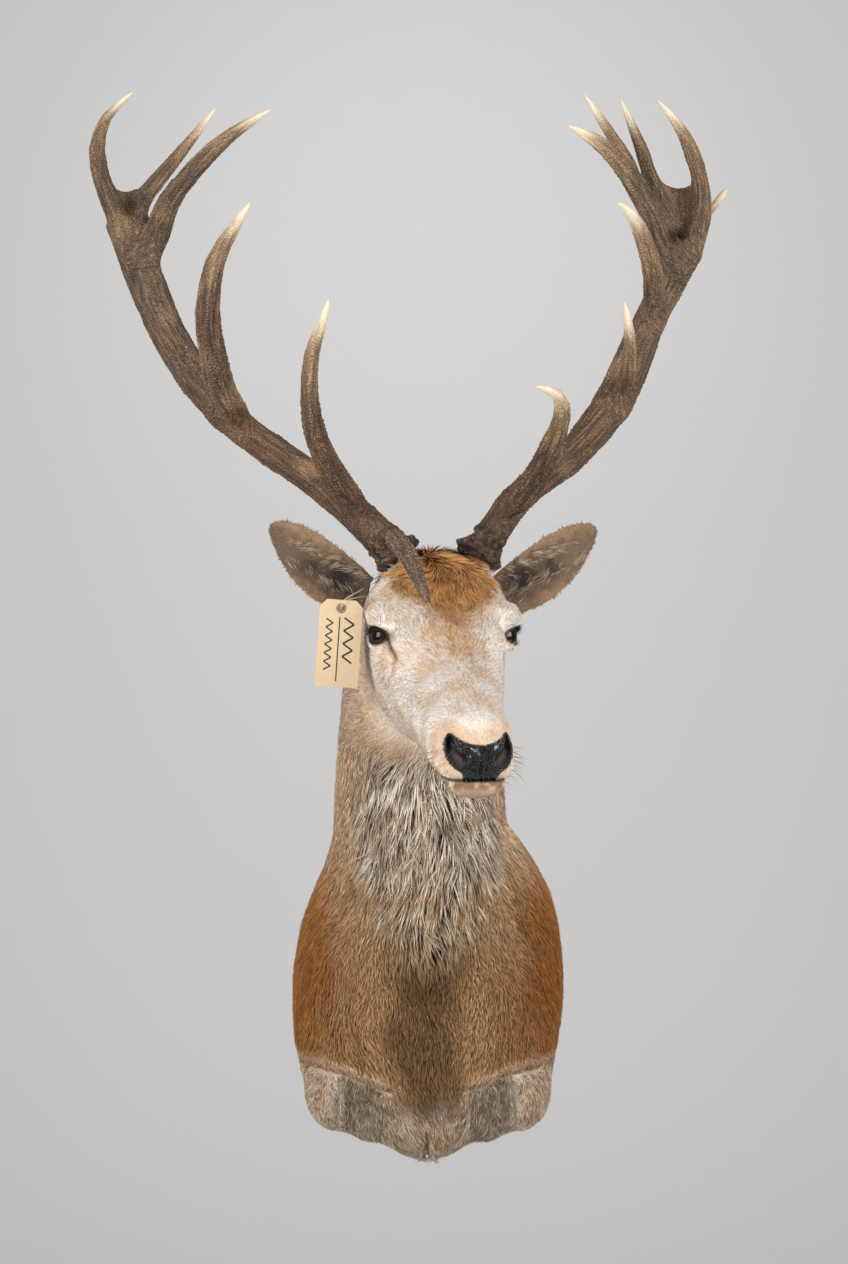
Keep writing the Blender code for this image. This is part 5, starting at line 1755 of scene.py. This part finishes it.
def antler_skin(side, mat):
    """One antler as a single furrowed and pearled bone."""
    tree, rows, joints, fill = branch_places(side)
    branches = [tapered_piece(name, rows) for name in ANTLER_NODES[side]]
    bone = remeshed(joined(branches + [fill], "antler_%s_bone" % side), ANTLER_VOXEL, 5)
    gaps = found(joints, points_of(bone.data), 2)
    smooth_mesh(bone, JOINT_ROUNDS, smooth(0.034, 0.015, gaps))
    points, normals = places_and_normals(bone)
    picks = found(tree, points, 1)
    line, way, first, second, run, to_tip = (np.array([rows[i][k] for i in picks]) for k in range(6))
    away = points - line
    x, y = along_rows(away, first), along_rows(away, second)
    run = run + along_rows(away, way)
    radius = np.maximum(np.hypot(x, y), 1e-4)
    turn = np.stack((x / radius, y / radius), axis=1)
    burr = np.array(node_centre("antler_%s_burr" % side))
    from_burr = lengths_of(points - burr)
    coronet = smooth(0.047, 0.034, from_burr)
    polish = smooth(0.065, 0.012, to_tip)
    height = points[:, 2] - MID.z
    grey = smooth(0.22, 0.45, height)
    brow = np.zeros(len(points))
    if side == "right":
        brow = near_node(points, "antler_right_brow_tine", 0.002) * smooth(0.040, 0.055, from_burr)
    around = np.clip(radius, 0.006, 0.03)
    furrow, pearl, knob = np.empty((3, len(points)))
    for index, point in enumerate(points):
        ring = around[index] / 0.0050
        furrow[index] = noise.noise((turn[index, 0] * ring, turn[index, 1] * ring, run[index] * 9.0))
        near, after = noise.voronoi(Vector(point) / BEAD_SIZE)[0][:2]
        pearl[index] = after - near
        knob[index] = noise.noise(point / 0.0075 + np.array((3.1, 0, 0)))
    pearl = smooth(0.05, 0.55, pearl)
    ridge = 1 - np.abs(furrow) * 3.0
    rough = 1 - polish
    # beads stand on the tines and the outer side, long furrows run up the beams
    patchy = smooth(-0.5, 0.7, wave_noise(points, 0.07, 44))
    beaded = pearl * (0.35 + 0.65 * np.maximum(patchy * smooth(0.50, 0.25, height), brow))
    lined = (0.35 + 0.65 * (1 - patchy)) * (1 - brow) * (1 - 0.85 * smooth(0.018, 0.006, gaps))
    move = 0.0019 * (beaded - 0.40) - 0.0015 * np.clip(ridge, 0, 1) * lined
    move = rough * move * smooth(0.004, 0.014, radius)
    move = move * (1 - coronet) + coronet * (0.0030 * np.clip(knob * 2.4, -0.3, 1) + 0.0012 * (pearl - 0.4))
    (pit_x, pit_z), (pit_wide, pit_high) = PIT[side]
    pit = np.hypot((points[:, 0] - pit_x) / pit_wide, (points[:, 2] - pit_z) / pit_high)
    pit = np.exp(-pit ** 2) * smooth(0.1, 0.6, -normals[:, 1])
    points = points + np.array((0, 0.0095, 0)) * pit[:, None]
    set_points(bone.data, points + normals * (move - JOIN_GROWTH * 0.8)[:, None])
    deep = np.clip(ridge, 0, 1)
    side_wear = smooth(0.3, 1.4, wave_noise(points, 0.10, 45)) * rough
    stain = smooth(0.30, 0.12, height) * smooth(-0.6, 0.8, wave_noise(points, 0.05, 46)) * rough
    beads = rough * (0.35 + 0.65 * patchy)
    streak = 0.016 * furrow
    colour = layered(
        mixed(BONE, BONE_GREY, 0.65 * grey), (BONE_DARK, 0.72 * deep * rough * lined),
        (BONE_DARK, 0.62 * (1 - pearl) * beads), (BONE_LIGHT, 0.50 * pearl * (1 - deep) * beads),
        (BONE_LIGHT, 0.40 * side_wear), (BONE_DARK, 0.45 * stain), (BROW_PINK, 0.75 * brow),
        (BONE_DARK, 0.62 * brow * (1 - pearl)), (BONE_LIGHT, 0.45 * brow * pearl),
        (BONE_DARK * 0.8, coronet * np.clip(0.5 - knob * 1.6, 0, 1)),
        # painted shade: near black in the pit pressed into each crown's cup, darker on the left antler
        (BONE_DARK * 0.3, (0.92 if side == "left" else 0.5) * pit),
        (TIP_TAN, 0.72 * smooth(0.150, 0.045, to_tip + 3.5 * streak)),
        (IVORY, smooth(0.062, 0.014, to_tip + streak)))
    colour_layer(bone.data, "bone", colour)
    vertex_layer(bone.data, "grain", np.column_stack((turn * around[:, None], run * 0.13)), "FLOAT_VECTOR")
    vertex_layer(bone.data, "bead", points, "FLOAT_VECTOR")
    vertex_layer(bone.data, "polish", polish)
    thinned(bone, BONE_SHARE)
    bone.data.materials.append(mat)
    bone.data.shade_smooth()
    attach(bone, "root")
    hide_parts(*ANTLER_NODES[side])


# ---- skin piece
def skin_piece():
    """The whole hide with its colours, in place of the flesh nodes."""
    skin = whole_skin()
    ear_trees = [surface_tree(frame["nodes"][name].data) for name in EARS]
    points, normals = places_and_normals(skin)
    ears = np.zeros((2, len(points)))
    close = near_ears(points)
    ears[:, close] = ear_shares(points[close], ear_trees)
    colour_layer(skin.data, "tone", coat_colour(points, normals, ears))
    hollow = np.maximum(nostril_gap_share(points, -1), nostril_gap_share(points, 1))
    vertex_layer(skin.data, "pad", pad_share(points) * (1 - hollow))
    forward, aside, up = head_coordinates(points)
    share = head_share(points, 0.02)[:, None]
    head_grain = np.stack((aside, up, forward * 0.14), axis=1)
    body_grain = points * np.array((1, 1, 0.12))
    vertex_layer(skin.data, "grain", between(body_grain, head_grain, share), "FLOAT_VECTOR")
    skin.data.materials.clear()
    skin.data.materials.append(hide_material())
    return skin, ear_trees


def finished_skin(skin):
    """The hide thinned, shaded smooth and attached in place of the flesh and ear nodes."""
    thinned(skin, SKIN_SHARE)
    skin.data.shade_smooth()
    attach(skin, "root")
    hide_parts(*FLESH, *EARS)


# ---- tag and board
RING_RADIUS = 0.0064
RING_SIDES = 40
PAPER_LIFT = 0.00042         # of the marks' undersides over the card's middle
# edge, reach across, top, bottom, number of turns and pen's width
SCRIBBLES = ((0.0050, 0.0125, 0.032, -0.024, 8, 0.0023), (-0.0180, 0.0090, 0.030, -0.034, 13, 0.0018))


def tag_marks(mat):
    """A ruled line down the tag with a plain zigzag of pen strokes on both sides of it."""
    axes = np.array(tag_matrix().to_3x3())
    middle, across, out, up = np.array(TAG_CENTRE), axes[:, 0], -axes[:, 1], axes[:, 2]
    strokes = [((-0.001, -0.047), (-0.001, 0.033), 0.0015)]
    for edge, reach, top, low, turns, width in SCRIBBLES:
        rises = np.linspace(top, low, turns)
        knots = [(edge + reach * (index % 2), rise) for index, rise in enumerate(rises)]
        strokes += [(start, end, width) for start, end in zip(knots, knots[1:])]
    form = bmesh.new()
    for start, end, width in strokes:
        start, end = np.array(start), np.array(end)
        way = (end - start) / np.linalg.norm(end - start)
        beside = np.array((-way[1], way[0])) * width / 2
        corners = [form.verts.new(middle + across * spot[0] + up * spot[1] + out * lift)
                   for lift in (PAPER_LIFT, 0.00050)
                   for spot in (start - beside, end - beside, end + beside, start + beside)]
        for quad in ((0, 1, 2, 3), (7, 6, 5, 4), (0, 4, 5, 1), (1, 5, 6, 2), (2, 6, 7, 3), (3, 7, 4, 0)):
            form.faces.new([corners[index] for index in quad])
    bmesh.ops.recalc_face_normals(form, faces=form.faces)
    tag_piece(form, "tag_pen_marks", mat)


def tag_piece(form, name, mat):
    """A finished piece on the tag's front."""
    piece = object_from(form, name)
    piece.data.materials.append(mat)
    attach(piece, "root")


def tag_ring(mat):
    """The round paper patch that strengthens the tag's hole."""
    place = tag_matrix() @ Matrix.Translation((0, 0, TAG_SIZE[2] / 2 - TAG_HOLE_DROP))
    form = bmesh.new()
    rings = []
    inside = TAG_HOLE_RADIUS + 0.0002
    for radius, lift in ((inside, PAPER_LIFT), (inside, 0.00062), (RING_RADIUS - 0.0003, 0.00066),
                         (RING_RADIUS, PAPER_LIFT)):
        spots = [Vector((radius * math.cos(turn), -lift, radius * math.sin(turn)))
                 for turn in np.arange(RING_SIDES) * 2 * math.pi / RING_SIDES]
        rings.append([form.verts.new(place @ spot) for spot in spots])
    for inner, outer in zip(rings, rings[1:] + rings[:1]):
        for index in range(RING_SIDES):
            after = (index + 1) % RING_SIDES
            form.faces.new((inner[index], inner[after], outer[after], outer[index]))
    bmesh.ops.recalc_face_normals(form, faces=form.faces)
    tag_piece(form, "tag_hole_patch", mat)


def paint(name, mat):
    """Gives a CAD node its finish."""
    node = frame["nodes"][name]
    node.data.materials.clear()
    node.data.materials.append(mat)


# ---- stage
CAMERA_DISTANCE = 3.9
CAMERA_HEIGHT = 0.445
LENS = 80.0
SENSOR = 36.0
BACKDROP_Y = 8.0
BACKDROP_TOP = 9.0
BACKDROP_CURVE = 3.0         # radius of the bend between the floor and the backdrop
CURVE_STEPS = 12
FLOOR_Z = -1.75
FLOOR_FRONT = -14.0
FLOOR_HALF_WIDTH = 16.0


def camera():
    data = bpy.data.cameras.new("camera")
    data.lens = LENS
    data.sensor_width = SENSOR
    data.clip_end = 60.0
    obj = linked("camera", data)
    obj.location = (0, -CAMERA_DISTANCE, CAMERA_HEIGHT)
    obj.rotation_euler = (math.pi / 2, 0, 0)
    bpy.context.scene.camera = obj
    bpy.context.scene.view_settings.view_transform = "Standard"


def sweep():
    """A pale floor that curves up into a backdrop."""
    verts, faces = [], []
    bend = BACKDROP_Y - BACKDROP_CURVE
    profile = [(FLOOR_FRONT, FLOOR_Z), (bend, FLOOR_Z)]
    for step in range(1, CURVE_STEPS + 1):
        angle = math.pi / 2 * step / CURVE_STEPS
        profile.append((bend + BACKDROP_CURVE * math.sin(angle),
                        FLOOR_Z + BACKDROP_CURVE - BACKDROP_CURVE * math.cos(angle)))
    profile.append((BACKDROP_Y, BACKDROP_TOP))
    for y, z in profile:
        verts += [(-FLOOR_HALF_WIDTH, y, z), (FLOOR_HALF_WIDTH, y, z)]
    for row in range(len(profile) - 1):
        faces.append((2 * row, 2 * row + 1, 2 * row + 3, 2 * row + 2))
    screen = mesh_object("pale_sweep", verts, faces)
    screen.data.shade_smooth()
    mat, n, shader = new_material("pale_paper")
    n.feed(shader, {"Base Color": srgb_rgba(228, 227, 226), "Roughness": 0.95})
    screen.data.materials.append(mat)


def lamp(name, place, target, size, power, colour=(1, 1, 1)):
    data = bpy.data.lights.new(name, "AREA")
    data.shape = "RECTANGLE"
    data.size, data.size_y = size
    data.energy = power
    data.color = colour
    obj = linked(name, data)
    obj.location = place
    obj.rotation_mode = "QUATERNION"
    obj.rotation_quaternion = (Vector(target) - Vector(place)).to_track_quat("-Z", "Y")


def lights():
    lamp("key_left", (-2.9, -2.9, 1.1), (0, -0.3, 0.3), (2.2, 2.4), 160)
    lamp("key_right", (3.0, -2.4, 1.2), (0, -0.3, 0.3), (1.8, 2.0), 124)
    lamp("top", (0.0, -1.2, 3.4), (0, -0.4, 0.3), (2.0, 1.4), 14)
    lamp("backdrop_wash", (0.0, 4.4, 2.9), (0, BACKDROP_Y, 0.7), (1.6, 0.8), 49, (1.0, 0.99, 0.98))
    world = bpy.data.worlds.new("studio_air")
    world.use_nodes = True
    Nodes(world.node_tree).feed(world.node_tree.nodes["Background"],
                                {"Color": srgb_rgba(228, 228, 229), "Strength": 0.42})
    bpy.context.scene.world = world


# ---- everything
def build():
    camera()
    card = plain_material("tag_card", srgb(206, 180, 144), 0.78, 0.07, 220.0, 0.0001)
    paint("tag", card)
    tag_marks(plain_material("pen_ink", srgb(24, 22, 26), 0.6))
    tag_ring(plain_material("patch_paper", srgb(150, 112, 92), 0.7, 0.2, 300.0, 0.0001))
    string_piece(plain_material("cotton_string", srgb(214, 196, 166), 0.85, 0.25, 900.0, 0.0002))
    paint("backing_board", board_material())
    bone = antler_material()
    for _, side in SIDES:
        antler_skin(side, bone)
    glass = eye_material()
    for side, _ in SIDES:
        eyeball(side, glass)
    skin, ear_trees = skin_piece()
    tree, shapes, mats = grow_coat(skin, ear_trees)
    for (side, _), ear_tree in zip(SIDES, ear_trees):
        lashes(side, tree, shapes, mats["face"])
        ear_hairs(side, ear_tree, tree, shapes, mats["ear"])
    whiskers(surface_tree(skin.data), tree, shapes, mats["face"])
    finished_skin(skin)
    for group in shapes.values():
        for shape in list(group.objects):
            bpy.data.objects.remove(shape, do_unlink=True)
        bpy.data.collections.remove(group)
    sweep()
    lights()


build()
